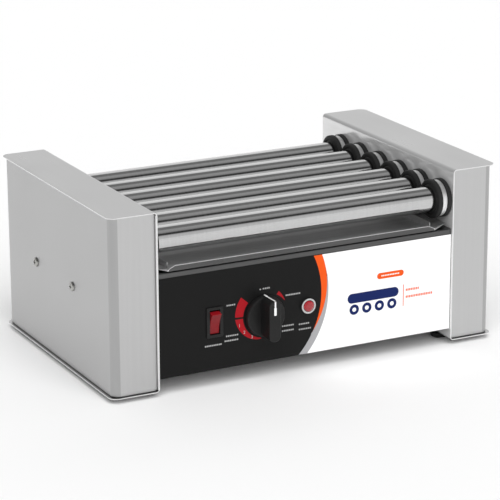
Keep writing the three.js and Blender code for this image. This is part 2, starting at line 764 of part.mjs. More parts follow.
// Flat-topped teeth between chain-roller valleys, in the plane across the shaft.
function sprocketPlate() {
  const points = [];
  const step = (2 * Math.PI) / TEETH;
  for (let tooth = 0; tooth < TEETH; tooth++)
    for (const [share, radius] of [
      [-0.3, ROOT_RADIUS],
      [-0.12, TIP_RADIUS],
      [0.12, TIP_RADIUS],
      [0.3, ROOT_RADIUS],
    ]) {
      const angle = (tooth + share) * step;
      points.push([radius * Math.cos(angle), radius * Math.sin(angle)]);
    }
  const half = SPROCKET_THICKNESS / 2;
  return alongX(polygon(points), SPROCKET_X - half, SPROCKET_X + half);
}

function rollerSprocket() {
  const bore = JOURNAL_RADIUS + GAP;
  const hub = turnedAlongX(
    [
      [SPROCKET_X, bore],
      [SPROCKET_X, HUB_RADIUS],
      [HUB_END, HUB_RADIUS],
      [HUB_END, bore],
    ],
    12,
  );
  const clearance = rod("x", bore, SPROCKET_X - 5, HUB_END + 5, 12);
  return cut(join(sprocketPlate(), hub), clearance);
}
const sprocketGeometry = rollerSprocket();

for (let i = 0; i < ROLLER_COUNT; i++) {
  const number = i + 1;
  const y = rollerY(i);
  add("roller_" + number, rollerGeometry, chrome, 0, y, ROLLER_Z);
  add("right_bearing_" + number, rightBearingGeometry, blackRubber, 0, y, ROLLER_Z);
  add("left_bearing_" + number, leftBearingGeometry, blackRubber, 0, y, ROLLER_Z);
  add("heating_element_" + number, elementGeometry, elementSheath, 0, y, ROLLER_Z);
  add("sprocket_" + number, sprocketGeometry, zincSteel, 0, y, ROLLER_Z);
}

// A strip with one hole for each element and a leg at each end that reaches the web.
function elementBracket(side) {
  const plan = polygon([
    [WEB_BACK + GAP, -BRACKET_HALF_DEPTH],
    [BRACKET_X + 1.2, -BRACKET_HALF_DEPTH],
    [BRACKET_X + 1.2, BRACKET_HALF_DEPTH],
    [WEB_BACK + GAP, BRACKET_HALF_DEPTH],
    [WEB_BACK + GAP, BRACKET_HALF_DEPTH - 1.2],
    [BRACKET_X, BRACKET_HALF_DEPTH - 1.2],
    [BRACKET_X, -BRACKET_HALF_DEPTH + 1.2],
    [WEB_BACK + GAP, -BRACKET_HALF_DEPTH + 1.2],
  ]);
  const holes = [];
  for (let i = 0; i < ROLLER_COUNT; i++)
    holes.push(
      rod("x", ELEMENT_RADIUS + 0.5, BRACKET_X - 5, BRACKET_X + 5, 8).translate(0, rollerY(i), ROLLER_Z),
    );
  const low = ROLLER_Z - BRACKET_HALF_HEIGHT;
  const high = ROLLER_Z + BRACKET_HALF_HEIGHT;
  return onSide(side, cut(alongZ(plan, low, high), ...holes));
}
add("element_bracket_left", elementBracket(-1), zincSteel);
add("element_bracket_right", elementBracket(1), zincSteel);

// ---- chain drive --------------------------------------------------------------------------
// The chain runs straight over all six sprockets, round the first and the last, and down to
// the motor. A belt line round equal circles is a row of arcs joined by straight runs.
const BELT_CENTRES = [
  [rollerY(0), ROLLER_Z],
  [MOTOR_Y, MOTOR_Z],
  [rollerY(ROLLER_COUNT - 1), ROLLER_Z],
];
function beltLine(radius, arcSteps) {
  const points = [];
  const count = BELT_CENTRES.length;
  const outwardAngle = (from, to) => Math.atan2(to[1] - from[1], to[0] - from[0]) - Math.PI / 2;
  for (let i = 0; i < count; i++) {
    const here = BELT_CENTRES[i];
    const start = outwardAngle(BELT_CENTRES[(i + count - 1) % count], here);
    let end = outwardAngle(here, BELT_CENTRES[(i + 1) % count]);
    while (end < start) end += 2 * Math.PI;
    for (let k = 0; k <= arcSteps; k++) {
      const angle = start + ((end - start) * k) / arcSteps;
      points.push([here[0] + radius * Math.cos(angle), here[1] + radius * Math.sin(angle)]);
    }
  }
  return points;
}

// Two bands of link plates joined by pins, which are set only where no tooth passes.
function driveChain() {
  const outline = polygon(beltLine(PITCH_RADIUS + CHAIN_PLATE_HALF_HEIGHT, 6));
  outline.holes.push(
    new THREE.Path(
      beltLine(PITCH_RADIUS - CHAIN_PLATE_HALF_HEIGHT, 6).map(([y, z]) => new THREE.Vector2(y, z)),
    ),
  );
  const inner = SPROCKET_X - CHAIN_SLOT / 2;
  const outer = SPROCKET_X + CHAIN_SLOT / 2;
  const bands = [alongX(outline, inner - CHAIN_PLATE, inner), alongX(outline, outer, outer + CHAIN_PLATE)];
  const pitchLine = beltLine(PITCH_RADIUS, 12).map(([y, z]) => new THREE.Vector2(y, z));
  pitchLine.push(pitchLine[0].clone());
  const path = new THREE.Path(pitchLine);
  const axes = [[MOTOR_Y, MOTOR_Z]];
  for (let i = 0; i < ROLLER_COUNT; i++) axes.push([rollerY(i), ROLLER_Z]);
  const clear = TIP_RADIUS + CHAIN_ROLLER_RADIUS + GAP;
  const links = Math.round(path.getLength() / (2 * CHAIN_PITCH));
  const pins = path
    .getSpacedPoints(links)
    .slice(0, links)
    .filter((point) => axes.every(([y, z]) => Math.hypot(point.x - y, point.y - z) > clear))
    .map((point) =>
      rod(
        "x",
        CHAIN_ROLLER_RADIUS,
        inner - CHAIN_PLATE / 2,
        outer + CHAIN_PLATE / 2,
        6,
      ).translate(0, point.x, point.y),
    );
  return join(bands[0], bands[1], ...pins);
}
add("drive_chain", driveChain(), chainSteel);

// Gearbox against the web with a round motor behind it and a boss through the web.
function gearmotor() {
  const gearbox = roundedBox(
    -GEARBOX.halfDepth,
    GEARBOX.halfDepth,
    -GEARBOX.halfHeight,
    GEARBOX.halfHeight,
    GEARBOX.corner,
    GEARBOX.corner,
  );
  const back = WEB_FACE - GAP;
  const block = alongX(gearbox, back - GEARBOX.length, back, 3);
  const can = rod("x", MOTOR_CAN.radius, back - MOTOR_CAN.end, back - GEARBOX.length + 1, 24);
  const boss = rod("x", MOTOR_BOSS_RADIUS, back - 2, WEB_BACK + 2.5, 16);
  const bore = rod("x", MOTOR_SHAFT_RADIUS + 0.4, back - 14, WEB_BACK + 6, 12);
  return cut(join(block, can, boss), bore);
}
add("gearmotor", gearmotor(), motorPaint, 0, MOTOR_Y, MOTOR_Z);

const outputShaft = rod("x", MOTOR_SHAFT_RADIUS, WEB_FACE - 13, SPROCKET_X + 8, 12);
const outputHub = rod("x", HUB_RADIUS - 1, SPROCKET_X, SPROCKET_X + 6, 14);
add(
  "motor_output_sprocket",
  join(sprocketPlate(), outputHub, outputShaft),
  zincSteel,
  0,
  MOTOR_Y,
  MOTOR_Z,
);

// The knob stands out in front, so the machine is moved back until its whole depth is centred.
machine.position.y = -(GRIP_FRONT + HALF_DEPTH) / 2;

export default grill;
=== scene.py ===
import json
import math

import bmesh
import bpy
from mathutils import Matrix, Vector


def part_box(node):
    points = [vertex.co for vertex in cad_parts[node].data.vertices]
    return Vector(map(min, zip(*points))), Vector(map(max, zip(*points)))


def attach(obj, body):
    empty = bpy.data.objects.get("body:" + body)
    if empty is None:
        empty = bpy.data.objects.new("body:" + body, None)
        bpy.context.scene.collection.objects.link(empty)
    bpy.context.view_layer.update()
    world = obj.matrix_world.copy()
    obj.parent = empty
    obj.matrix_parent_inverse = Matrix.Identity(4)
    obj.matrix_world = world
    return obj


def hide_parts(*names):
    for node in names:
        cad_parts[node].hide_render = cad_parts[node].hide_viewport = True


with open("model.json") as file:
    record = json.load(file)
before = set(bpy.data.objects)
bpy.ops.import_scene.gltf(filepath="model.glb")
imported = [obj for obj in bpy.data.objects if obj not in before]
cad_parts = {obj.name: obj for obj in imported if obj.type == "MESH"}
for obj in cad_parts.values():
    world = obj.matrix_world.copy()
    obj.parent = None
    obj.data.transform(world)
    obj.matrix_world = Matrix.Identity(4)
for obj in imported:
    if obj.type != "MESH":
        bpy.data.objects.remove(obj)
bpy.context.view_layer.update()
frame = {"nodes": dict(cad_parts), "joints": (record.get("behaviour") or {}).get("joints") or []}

# Lengths below are millimetres in the frame's own axes; meshes are scaled to metres when made.
MM = 0.001


def low(node):
    """Lowest corner of a CAD node, in millimetres."""
    return Vector(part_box(node)[0]) / MM


def high(node):
    """Highest corner of a CAD node, in millimetres."""
    return Vector(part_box(node)[1]) / MM


def middle(node):
    return (low(node) + high(node)) / 2


# ---- places worked out from the frame ------------------------------------------------------
FRAME_LOW, FRAME_HIGH = low("right_end_frame"), high("right_end_frame")
BASE_Z = FRAME_LOW.z
TOP_Z = FRAME_HIGH.z
HALF_WIDTH = FRAME_HIGH.x
WEB_X = FRAME_LOW.x
SHEET = 1.0  # end frames and end covers
SHEET_EDGE = 0.22  # rounding of their worked edges
PANEL_SHEET = 1.2  # front panel and base
PANEL_EDGE = 0.2
PANEL_BEND = 1.8
FILM_Y = low("control_overlay").y
KNOB = middle("heat_knob")
SWITCH = middle("switch_housing")
LAMP = middle("pilot_body")
ROLLERS = range(1, 7)


# ---- mesh helpers --------------------------------------------------------------------------
def filleted(points, radii, steps=6, closed=True):
    """Rounds the corners of an outline. radii is one number, or one for each point."""
    count = len(points)
    radii = [radii] * count if isinstance(radii, (int, float)) else radii
    result = []
    for i, (point, radius) in enumerate(zip(points, radii)):
        corner = Vector(point)
        if radius <= 0 or (not closed and i in (0, count - 1)):
            result.append(tuple(corner))
            continue
        before = (Vector(points[i - 1]) - corner).normalized()
        after = (Vector(points[(i + 1) % count]) - corner).normalized()
        half = before.angle(after) / 2
        centre = corner + (before + after).normalized() * (radius / math.sin(half))
        start = corner + before * (radius / math.tan(half)) - centre
        end = corner + after * (radius / math.tan(half)) - centre
        turn = start.angle_signed(end)
        for k in range(steps + 1):
            angle = -turn * k / steps
            c, s = math.cos(angle), math.sin(angle)
            result.append((centre.x + c * start.x - s * start.y, centre.y + s * start.x + c * start.y))
    return result


def rectangle(u0, u1, v0, v1, radius=0.0, steps=6):
    return filleted([(u0, v0), (u1, v0), (u1, v1), (u0, v1)], radius, steps)


def circle(u, v, radius, steps=48):
    turns = [2 * math.pi * k / steps for k in range(steps)]
    return [(u + radius * math.cos(t), v + radius * math.sin(t)) for t in turns]


def placed(axis, along, u, v):
    """A point at a distance along an axis, with u and v across it in X, Y, Z order."""
    return {"x": (along, u, v), "y": (u, along, v), "z": (u, v, along)}[axis]


def make(name, vertices, faces, materials, face_slots=None, sharp=32):
    mesh = bpy.data.meshes.new(name)
    mesh.from_pydata([Vector(v) * MM for v in vertices], [], faces)
    for material in materials:
        mesh.materials.append(material)
    if face_slots:
        mesh.polygons.foreach_set("material_index", face_slots)
    mesh.validate()
    piece = bpy.data.objects.new(name, mesh)
    bpy.context.scene.collection.objects.link(piece)
    face_out(piece)
    smooth(piece, sharp)
    return piece


def face_out(piece):
    work = bmesh.new()
    work.from_mesh(piece.data)
    bmesh.ops.recalc_face_normals(work, faces=work.faces)
    work.to_mesh(piece.data)
    work.free()


def smooth(piece, angle):
    piece.data.polygons.foreach_set("use_smooth", [True] * len(piece.data.polygons))
    piece.data.set_sharp_from_angle(angle=math.radians(angle))


def settle(piece, sharp=32):
    """Replaces a piece's mesh by what its modifiers make of it."""
    bpy.context.view_layer.update()
    graph = bpy.context.evaluated_depsgraph_get()
    mesh = bpy.data.meshes.new_from_object(piece.evaluated_get(graph))
    piece.modifiers.clear()
    piece.data = mesh
    smooth(piece, sharp)
    return piece


def bevelled(piece, width, segments=2, angle=40, sharp=32):
    bevel = piece.modifiers.new("edges", "BEVEL")
    bevel.width = width * MM
    bevel.segments = segments
    bevel.limit_method = "ANGLE"
    bevel.angle_limit = math.radians(angle)
    bevel.use_clamp_overlap = True
    return settle(piece, sharp)


def carved(piece, cutters, sharp=32):
    for cutter in cutters:
        boolean = piece.modifiers.new("cut", "BOOLEAN")
        boolean.operation = "DIFFERENCE"
        boolean.solver = "EXACT"
        boolean.object = cutter
    settle(piece, sharp)
    for cutter in cutters:
        bpy.data.objects.remove(cutter)
    return piece


def joined(name, pieces):
    """Makes one object of several, keeping each one's materials."""
    vertices, faces, slots, materials = [], [], [], []
    for piece in pieces:
        offset = len(vertices)
        vertices += [piece.matrix_world @ v.co for v in piece.data.vertices]
        own = list(piece.data.materials)
        for material in own:
            if material not in materials:
                materials.append(material)
        for polygon in piece.data.polygons:
            faces.append([offset + i for i in polygon.vertices])
            slots.append(materials.index(own[polygon.material_index]))
        bpy.data.objects.remove(piece)
    mesh = bpy.data.meshes.new(name)
    mesh.from_pydata(vertices, [], faces)
    for material in materials:
        mesh.materials.append(material)
    mesh.polygons.foreach_set("material_index", slots)
    whole = bpy.data.objects.new(name, mesh)
    bpy.context.scene.collection.objects.link(whole)
    smooth(whole, 32)
    return whole


def prism(name, outline, axis, start, end, material, edge=0.0, segments=2, sharp=32):
    """An outline extruded along an axis, with its edges rounded by edge."""
    count = len(outline)
    vertices = [placed(axis, start, u, v) for u, v in outline]
    vertices += [placed(axis, end, u, v) for u, v in outline]
    faces = [list(range(count)), list(range(2 * count - 1, count - 1, -1))]
    faces += [[i, (i + 1) % count, count + (i + 1) % count, count + i] for i in range(count)]
    piece = make(name, vertices, faces, [material], sharp=sharp)
    return bevelled(piece, edge, segments, sharp=sharp) if edge else piece


def lathe(name, profile, axis, centre, material, segments=72, closed=False, sharp=32):
    """Turns a profile of (distance along the axis, radius) about the axis through centre."""
    vertices, rings = [], []
    across = {"x": (centre.y, centre.z), "y": (centre.x, centre.z), "z": (centre.x, centre.y)}[axis]
    for along, radius in profile:
        if radius == 0:
            rings.append([len(vertices)] * segments)
            vertices.append(placed(axis, along, *across))
            continue
        rings.append(list(range(len(vertices), len(vertices) + segments)))
        for u, v in circle(*across, radius, segments):
            vertices.append(placed(axis, along, u, v))
    faces = []
    pairs = list(zip(rings, rings[1:])) + ([(rings[-1], rings[0])] if closed else [])
    for first, second in pairs:
        for k in range(segments):
            corners = [first[k], first[(k + 1) % segments], second[(k + 1) % segments], second[k]]
            faces.append(list(dict.fromkeys(corners)))
    return make(name, vertices, [f for f in faces if len(f) > 2], [material], sharp=sharp)


def rod(name, axis, radius, start, end, centre, material, segments=48):
    profile = [(start, 0), (start, radius), (end, radius), (end, 0)]
    return lathe(name, profile, axis, centre, material, segments)


def bent_sheet(name, path, thickness, axis, start, end, materials, start_radius=0.0, end_radius=0.0):
    """A sheet bent along an open path. Its corners at the path's ends can be rounded off.

    materials holds the sheet's surface and its cut edges."""
    path = [Vector(p) for p in path]
    for radius, reverse in ((start_radius, False), (end_radius, True)):
        if radius:
            path = path[::-1] if reverse else path
            line = (path[1] - path[0]).normalized()
            extra = [path[0] + line * radius * (1 - math.cos(math.radians(a))) for a in range(10, 91, 10)]
            path = [path[0]] + extra + path[1:]
            path = path[::-1] if reverse else path
    count = len(path)
    steps = [(path[i + 1] - path[i]).length for i in range(count - 1)]
    total = sum(steps)
    vertices = []
    travelled = 0.0
    for i, point in enumerate(path):
        before = (path[i] - path[i - 1]).normalized() if i else (path[1] - path[0]).normalized()
        after = (path[i + 1] - path[i]).normalized() if i < count - 1 else before
        line = (before + after).normalized()
        stretch = 1 / max(0.3, line.dot(after))
        inward = point + Vector((-line.y, line.x)) * thickness * stretch
        inset = max(corner_inset(travelled, start_radius), corner_inset(total - travelled, end_radius))
        for u, v in (point, inward):
            vertices.append(placed(axis, start + inset, u, v))
            vertices.append(placed(axis, end - inset, u, v))
        travelled += steps[i] if i < count - 1 else 0
    faces, slots = [[0, 1, 3, 2]], [1]
    for i in range(count - 1):
        a, b = 4 * i, 4 * i + 4
        faces += [[a, a + 1, b + 1, b], [a + 2, b + 2, b + 3, a + 3]]
        faces += [[a, b, b + 2, a + 2], [a + 1, a + 3, b + 3, b + 1]]
        slots += [0, 0, 1, 1]
    last = 4 * count - 4
    faces.append([last, last + 2, last + 3, last + 1])
    slots.append(1)
    return make(name, vertices, faces, materials, slots)


def corner_inset(distance, radius):
    """How far a rounded corner cuts back at a distance from the sheet's end."""
    if not radius or distance >= radius:
        return 0.0
    return radius - math.sqrt(max(0.0, radius**2 - (radius - distance) ** 2))


def bead(name, points, radius, material):
    """A round edge that follows a line through points."""
    curve = bpy.data.curves.new(name, "CURVE")
    curve.dimensions = "3D"
    curve.bevel_depth = radius * MM
    curve.bevel_resolution = 3
    curve.use_fill_caps = True
    line = curve.splines.new("POLY")
    line.points.add(len(points) - 1)
    for point, place in zip(line.points, points):
        point.co = (*(Vector(place) * MM), 1)
    curve.materials.append(material)
    return meshed(name, curve)


def meshed(name, curve, transform=Matrix()):
    """Turns a curve or text into an ordinary mesh."""
    piece = bpy.data.objects.new(name, curve)
    bpy.context.scene.collection.objects.link(piece)
    bpy.context.view_layer.update()
    mesh = bpy.data.meshes.new_from_object(piece.evaluated_get(bpy.context.evaluated_depsgraph_get()))
    bpy.data.objects.remove(piece)
    mesh.transform(transform)
    whole = bpy.data.objects.new(name, mesh)
    bpy.context.scene.collection.objects.link(whole)
    return whole


def mounted(piece, body, slot, *nodes):
    weighted = piece.modifiers.new("flat_faces", "WEIGHTED_NORMAL")
    weighted.keep_sharp = True
    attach(piece, body)
    if nodes:
        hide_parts(*nodes)
    return piece


# ---- material helpers ----------------------------------------------------------------------
class Shader:
    """A Principled material with short ways to add procedural detail."""

    def __init__(self, name, color, roughness, metallic=0.0, **constants):
        self.material = bpy.data.materials.new(name)
        self.material.use_nodes = True
        self.tree = self.material.node_tree
        self.surface = self.tree.nodes["Principled BSDF"]
        self.surface.inputs["Base Color"].default_value = (*color, 1)
        self.surface.inputs["Roughness"].default_value = roughness
        self.surface.inputs["Metallic"].default_value = metallic
        for socket, value in constants.items():
            self.surface.inputs[socket.replace("_", " ")].default_value = value
        self.place = self.tree.nodes.new("ShaderNodeTexCoord").outputs["Object"]

    def link(self, output, node_input):
        self.tree.links.new(output, node_input)

    def noise(self, scale, detail=3.0, stretch=(1, 1, 1), distortion=0.0):
        mapping = self.tree.nodes.new("ShaderNodeMapping")
        mapping.inputs["Scale"].default_value = stretch
        self.link(self.place, mapping.inputs["Vector"])
        texture = self.tree.nodes.new("ShaderNodeTexNoise")
        texture.inputs["Scale"].default_value = scale
        texture.inputs["Detail"].default_value = detail
        texture.inputs["Distortion"].default_value = distortion
        self.link(mapping.outputs[0], texture.inputs["Vector"])
        return texture.outputs["Fac"]

    def spread(self, value, low_out, high_out, low_in=0.3, high_in=0.7):
        node = self.tree.nodes.new("ShaderNodeMapRange")
        ends = {"From Min": low_in, "From Max": high_in, "To Min": low_out, "To Max": high_out}
        for socket, number in ends.items():
            node.inputs[socket].default_value = number
        self.link(value, node.inputs["Value"])
        return node.outputs["Result"]

    def blend(self, value, first, second, low_in=0.3, high_in=0.7):
        node = self.tree.nodes.new("ShaderNodeMix")
        node.data_type = "RGBA"
        node.inputs["A"].default_value = (*first, 1)
        node.inputs["B"].default_value = (*second, 1)
        self.link(self.spread(value, 0, 1, low_in, high_in), node.inputs["Factor"])
        return node.outputs["Result"]

    def add(self, first, second):
        node = self.tree.nodes.new("ShaderNodeMath")
        node.operation = "ADD"
        self.link(first, node.inputs[0])
        self.link(second, node.inputs[1])
        return node.outputs[0]

    def painted_edge_highlight(self, base, highlight_color, gain):
        """Lightens the convex edges: a painted highlight where edges catch the light."""
        edges = self.tree.nodes.new("ShaderNodeNewGeometry").outputs["Pointiness"]
        node = self.tree.nodes.new("ShaderNodeMix")
        node.data_type = "RGBA"
        self.link(base, node.inputs["A"])
        node.inputs["B"].default_value = (*(min(1, c * gain) for c in highlight_color), 1)
        self.link(self.spread(edges, 0, 0.7, 0.53, 0.62), node.inputs["Factor"])
        return node.outputs["Result"]

    def color(self, value):
        self.link(value, self.surface.inputs["Base Color"])

    def roughness(self, value):
        self.link(value, self.surface.inputs["Roughness"])

    def bump(self, height, strength, distance):
        node = self.tree.nodes.new("ShaderNodeBump")
        node.inputs["Strength"].default_value = strength
        node.inputs["Distance"].default_value = distance
        self.link(height, node.inputs["Height"])
        self.link(node.outputs[0], self.surface.inputs["Normal"])


def brushed(name, light, dark, roughness, stretch, grain=260, bump=0.03, smudge=0.06, metallic=1.0):
    """Rolled stainless sheet: a fine grain along one axis, slow cloudiness and faint smudges."""
    shader = Shader(name, light, roughness, metallic)
    lines = shader.noise(grain, 4, stretch)
    clouds = shader.noise(9, 3, distortion=0.4)
    mixed = shader.add(shader.spread(lines, 0, 0.6), shader.spread(clouds, 0, 0.4))
    shader.color(shader.blend(mixed, dark, light, 0.1, 0.9))
    gloss = shader.spread(lines, roughness - 0.03, roughness + 0.03)
    shader.roughness(shader.add(gloss, shader.spread(clouds, -smudge / 2, smudge / 2)))
    shader.bump(lines, bump, 0.00005)
    return shader.material


def moulded(name, color, roughness, grain=2600, bump=0.12, **constants):
    """Moulded plastic or rubber: a fine pebbled skin, slow changes in gloss, painted highlights on convex
    edges.
    """
    shader = Shader(name, color, roughness, **constants)
    skin = shader.noise(grain, 2)
    handled = shader.noise(38, 4, distortion=0.3)
    lighter = tuple(c * 1.35 + 0.003 for c in color)
    # Lighter convex edges: painted highlight.
    shader.color(shader.painted_edge_highlight(shader.blend(handled, color, lighter), lighter, 1.8))
    shader.roughness(shader.spread(handled, roughness - 0.06, roughness + 0.08))
    shader.bump(skin, bump, 0.00008)
    return shader.material


def printed(name, color, roughness=0.4):
    """Ink under a clear film: nearly even colour with a faint orange-peel surface."""
    shader = Shader(name, color, roughness, Specular_IOR_Level=0.12)
    tint = shader.noise(22, 3)
    shader.color(shader.blend(tint, tuple(c * 0.94 for c in color), color))
    shader.roughness(shader.spread(tint, roughness - 0.04, roughness + 0.04))
    shader.bump(shader.noise(900, 2), 0.04, 0.00004)
    return shader.material


def grey(level):
    return (level, level, level)


ALONG_X = (0.02, 1, 1)
ALONG_Y = (1, 0.02, 1)
ALONG_Z = (1, 1, 0.02)
frame_steel = brushed("frame_steel", grey(0.51), grey(0.475), 0.32, ALONG_Y)
# A lighter, glossier copy of the frame steel for the webs' flat faces: painted reflection of bright
# surroundings.
web_steel_painted_light = brushed("web_steel_painted_light", grey(0.9), grey(0.85), 0.2, ALONG_Y, 300, 0.01, 0.01, 0.45)
cover_steel = brushed("cover_steel", grey(0.58), grey(0.55), 0.38, ALONG_Z, 260, 0.02)
# Darker copies of the cover steel for the covers' side faces and rounded corners: painted shade.
side_steel_painted_shade = brushed("side_steel_painted_shade", grey(0.50), grey(0.475), 0.38, ALONG_Z, 260, 0.02)
bend_steel_painted_shade = brushed("bend_steel_painted_shade", grey(0.44), grey(0.415), 0.34, ALONG_Z, 260, 0.02)
base_steel = brushed("base_steel", grey(0.56), grey(0.49), 0.36, ALONG_X)
# Near-black steel for the front panel, whose top fold lies under the tray lip, and for the tray's front lip
# and step: painted shade.
dark_steel_painted_shade = brushed("dark_steel_painted_shade", grey(0.13), grey(0.10), 0.3, ALONG_X)
tray_steel = brushed("tray_steel", grey(0.86), grey(0.72), 0.55, ALONG_X)
# Much lighter steel on cut edges and hems: painted highlight along the edges.
cut_edge_painted_highlight = brushed("cut_edge_painted_highlight", grey(0.92), grey(0.84), 0.4, (1, 1, 1), 500)
roller_steel = brushed("roller_steel", grey(0.60), grey(0.55), 0.13, (1, 0.05, 0.05), 700, 0.02, 0.03)
band_steel = brushed("band_steel", grey(0.92), grey(0.82), 0.5, (1, 0.1, 0.1), 500)
bright_trim = brushed("bright_trim", grey(0.62), grey(0.56), 0.2, (1, 1, 1), 300, 0.02, 0.03)
zinc = brushed("zinc", (0.50, 0.50, 0.48), (0.36, 0.36, 0.34), 0.26, (1, 1, 1), 240, 0.1, 0.1)
oiled_steel = brushed("oiled_steel", (0.2, 0.18, 0.15), (0.09, 0.08, 0.07), 0.4, (1, 1, 1), 180, 0.15, 0.15)
sheath = brushed("sheath", (0.22, 0.19, 0.16), (0.1, 0.08, 0.07), 0.5, (1, 0.2, 0.2), 200, 0.15, 0.15)
black_rubber = moulded("black_rubber", grey(0.012), 0.6, Specular_IOR_Level=0.25)
black_plastic = moulded("black_plastic", grey(0.008), 0.45, 1900, Specular_IOR_Level=0.25)
motor_enamel = moulded("motor_enamel", (0.05, 0.055, 0.065), 0.4, 700)
rocker_red = moulded("rocker_red", (0.17, 0.003, 0.006), 0.3, 900, 0.03, Specular_IOR_Level=0.3)
lens_red = moulded("lens_red", (0.27, 0.008, 0.014), 0.12, 400, 0.02, Coat_Weight=0.5, Coat_Roughness=0.05)
film_black = printed("film_black", grey(0.0075))
film_white = printed("film_white", grey(0.92))
film_silver = printed("film_silver", (0.36, 0.36, 0.37))
film_orange = printed("film_orange", (0.80, 0.095, 0.010))
film_red = printed("film_red", (0.36, 0.008, 0.014))
film_navy = printed("film_navy", (0.006, 0.016, 0.10))
film_mark = printed("film_mark", grey(0.42))
pointer_white = printed("pointer_white", grey(0.85))
FRAME_STEEL = [frame_steel, cut_edge_painted_highlight]
COVER_STEEL = [cover_steel, cut_edge_painted_highlight]
BASE_STEEL = [base_steel, cut_edge_painted_highlight]
PANEL_STEEL_PAINTED_SHADE = [dark_steel_painted_shade, dark_steel_painted_shade]


# ---- end housings --------------------------------------------------------------------------
BEND_RADIUS = 4.0
LIP_RADIUS = 9.0
COVER_CORNER = 8.0
COVER_END_RADIUS = 3.5
WEB_HOLE_RADIUS = 11.3
SCREW_HOLE_RADIUS = 2.1
CUT_REACH = 4  # a cutter reaches this far both ways from the web's middle or the cover's outer face
POST_RADIUS = 4
POST_GAP = 4.4  # a cover post stops this far inside the frame's outer edge
HEM_RADIUS = 1.0
COVER_SCREWS = {"front": middle("cover_screw_left_front"), "rear": middle("cover_screw_left_rear")}


def mirrored_path(path, side):
    """Drawn for the right end. Reversed on the left, so the sheet keeps the same inner face."""
    return path if side > 0 else [(-u, v) for u, v in reversed(path)]


def painted_where(piece, material, chosen):
    """Gives a material to the faces whose normal passes a test. Used to paint lighter and darker copies of
    a steel by the way a face points: painted light and shade.
    """
    piece.data.materials.append(material)
    slot = len(piece.data.materials) - 1
    for polygon in piece.data.polygons:
        if chosen(polygon.normal):
            polygon.material_index = slot


def end_frame(word, side):
    corners = [
        (HALF_WIDTH, TOP_Z),
        (WEB_X, TOP_Z),
        (WEB_X, BASE_Z),
        (HALF_WIDTH, BASE_Z),
    ]
    path = mirrored_path(filleted(corners, BEND_RADIUS, 8, closed=False), side)
    frame_sheet = bent_sheet(
        word + "_end_frame_sheet",
        path,
        SHEET,
        "y",
        FRAME_LOW.y,
        FRAME_HIGH.y,
        FRAME_STEEL,
        LIP_RADIUS,
        LIP_RADIUS,
    )
    web = side * (WEB_X + SHEET / 2)
    reach = (web - CUT_REACH, web + CUT_REACH)
    cutters = []
    centres = [middle("roller_%d" % i) for i in ROLLERS]
    if side > 0:
        centres.append(middle("motor_output_sprocket"))
    for centre in centres:
        cutters.append(rod("hole", "x", WEB_HOLE_RADIUS, *reach, centre, frame_steel, 40))
    carved(frame_sheet, cutters)
    bevelled(frame_sheet, SHEET_EDGE, 2, 50)
    # The web's flat faces take the lighter, glossier steel: a painted reflection.
    painted_where(frame_sheet, web_steel_painted_light, lambda normal: abs(normal.x) > 0.99)
    mounted(frame_sheet, "housing", "stainless", word + "_end_frame")
    for screw in COVER_SCREWS.values():
        inner = WEB_X + SHEET
        outer = HALF_WIDTH - POST_GAP
        span = sorted((side * inner, side * outer))
        post = rod("post", "x", POST_RADIUS, *span, screw, zinc, 24)
        post.name = word + "_cover_post_" + ("front" if screw is COVER_SCREWS["front"] else "rear")
        bevelled(post, 0.3)
        mounted(post, "housing", "zinc_steel")


def end_cover(word, side):
    node = word + "_end_cover"
    near, far = low("right_end_cover"), high("right_end_cover")
    corners = [(near.x, near.y), (far.x, near.y), (far.x, far.y), (near.x, far.y)]
    path = mirrored_path(filleted(corners, COVER_CORNER, 12, closed=False), side)
    radii = (COVER_END_RADIUS, COVER_END_RADIUS)
    cover = bent_sheet(word + "_cover_sheet", path, SHEET, "z", near.z, far.z, COVER_STEEL, *radii)
    skin = side * far.x
    reach = (skin - CUT_REACH, skin + CUT_REACH)
    holes = []
    for screw in COVER_SCREWS.values():
        holes.append(rod("hole", "x", SCREW_HOLE_RADIUS, *reach, screw, cover_steel, 24))
    carved(cover, holes)
    bevelled(cover, SHEET_EDGE, 2, 50)
    # The side faces and the rounded corners take darker steel: painted shade.
    painted_where(cover, side_steel_painted_shade, lambda normal: abs(normal.x) > 0.99)
    painted_where(cover, bend_steel_painted_shade, lambda normal: 0.05 < abs(normal.x) <= 0.99 and abs(normal.z) < 0.1)
    mounted(cover, "housing", "stainless", node)


SLOT_HALF_LENGTH, SLOT_HALF_WIDTH = 2.6, 0.6


def cover_screw(word, side, place):
    """Pan head with a cross recess."""
    node = "cover_screw_%s_%s" % (word, place)
    seat = high("right_end_cover").x + 0.1
    head = [(0, 5), (0.8, 5), (1.5, 4.6), (2.0, 3.6), (2.3, 1.6), (2.35, 0)]
    profile = [(seat - 11, 0), (seat - 11, 1.4), (seat - 10.6, 1.6), (seat, 1.6)]
    profile += [(seat + along, radius) for along, radius in head]
    centre = middle(node)
    screw = lathe("screw", [(side * along, radius) for along, radius in profile], "x", centre, zinc, 48)
    y, z = centre.y, centre.z
    tip = sorted((side * (seat + 0.5), side * (seat + 5)))
    slots = []
    for across, up in ((SLOT_HALF_LENGTH, SLOT_HALF_WIDTH), (SLOT_HALF_WIDTH, SLOT_HALF_LENGTH)):
        slot = rectangle(y - across, y + across, z - up, z + up)
        slots.append(prism("slot", slot, "x", *tip, oiled_steel))
    carved(screw, slots)
    screw.name = node + "_head"
    mounted(screw, "housing", "zinc_steel", node)


def front_hem(word, side):
    """The web's front edge is folded back on itself into a rounded edge, painted lighter as a highlight."""
    edge = side * (WEB_X + HEM_RADIUS)
    line = [(edge, FRAME_LOW.y + 1.05, z) for z in (BASE_Z + 3, TOP_Z - 3)]
    hem = bead(word + "_front_hem", line, HEM_RADIUS, cut_edge_painted_highlight)
    smooth(hem, 40)
    mounted(hem, "housing", "stainless")


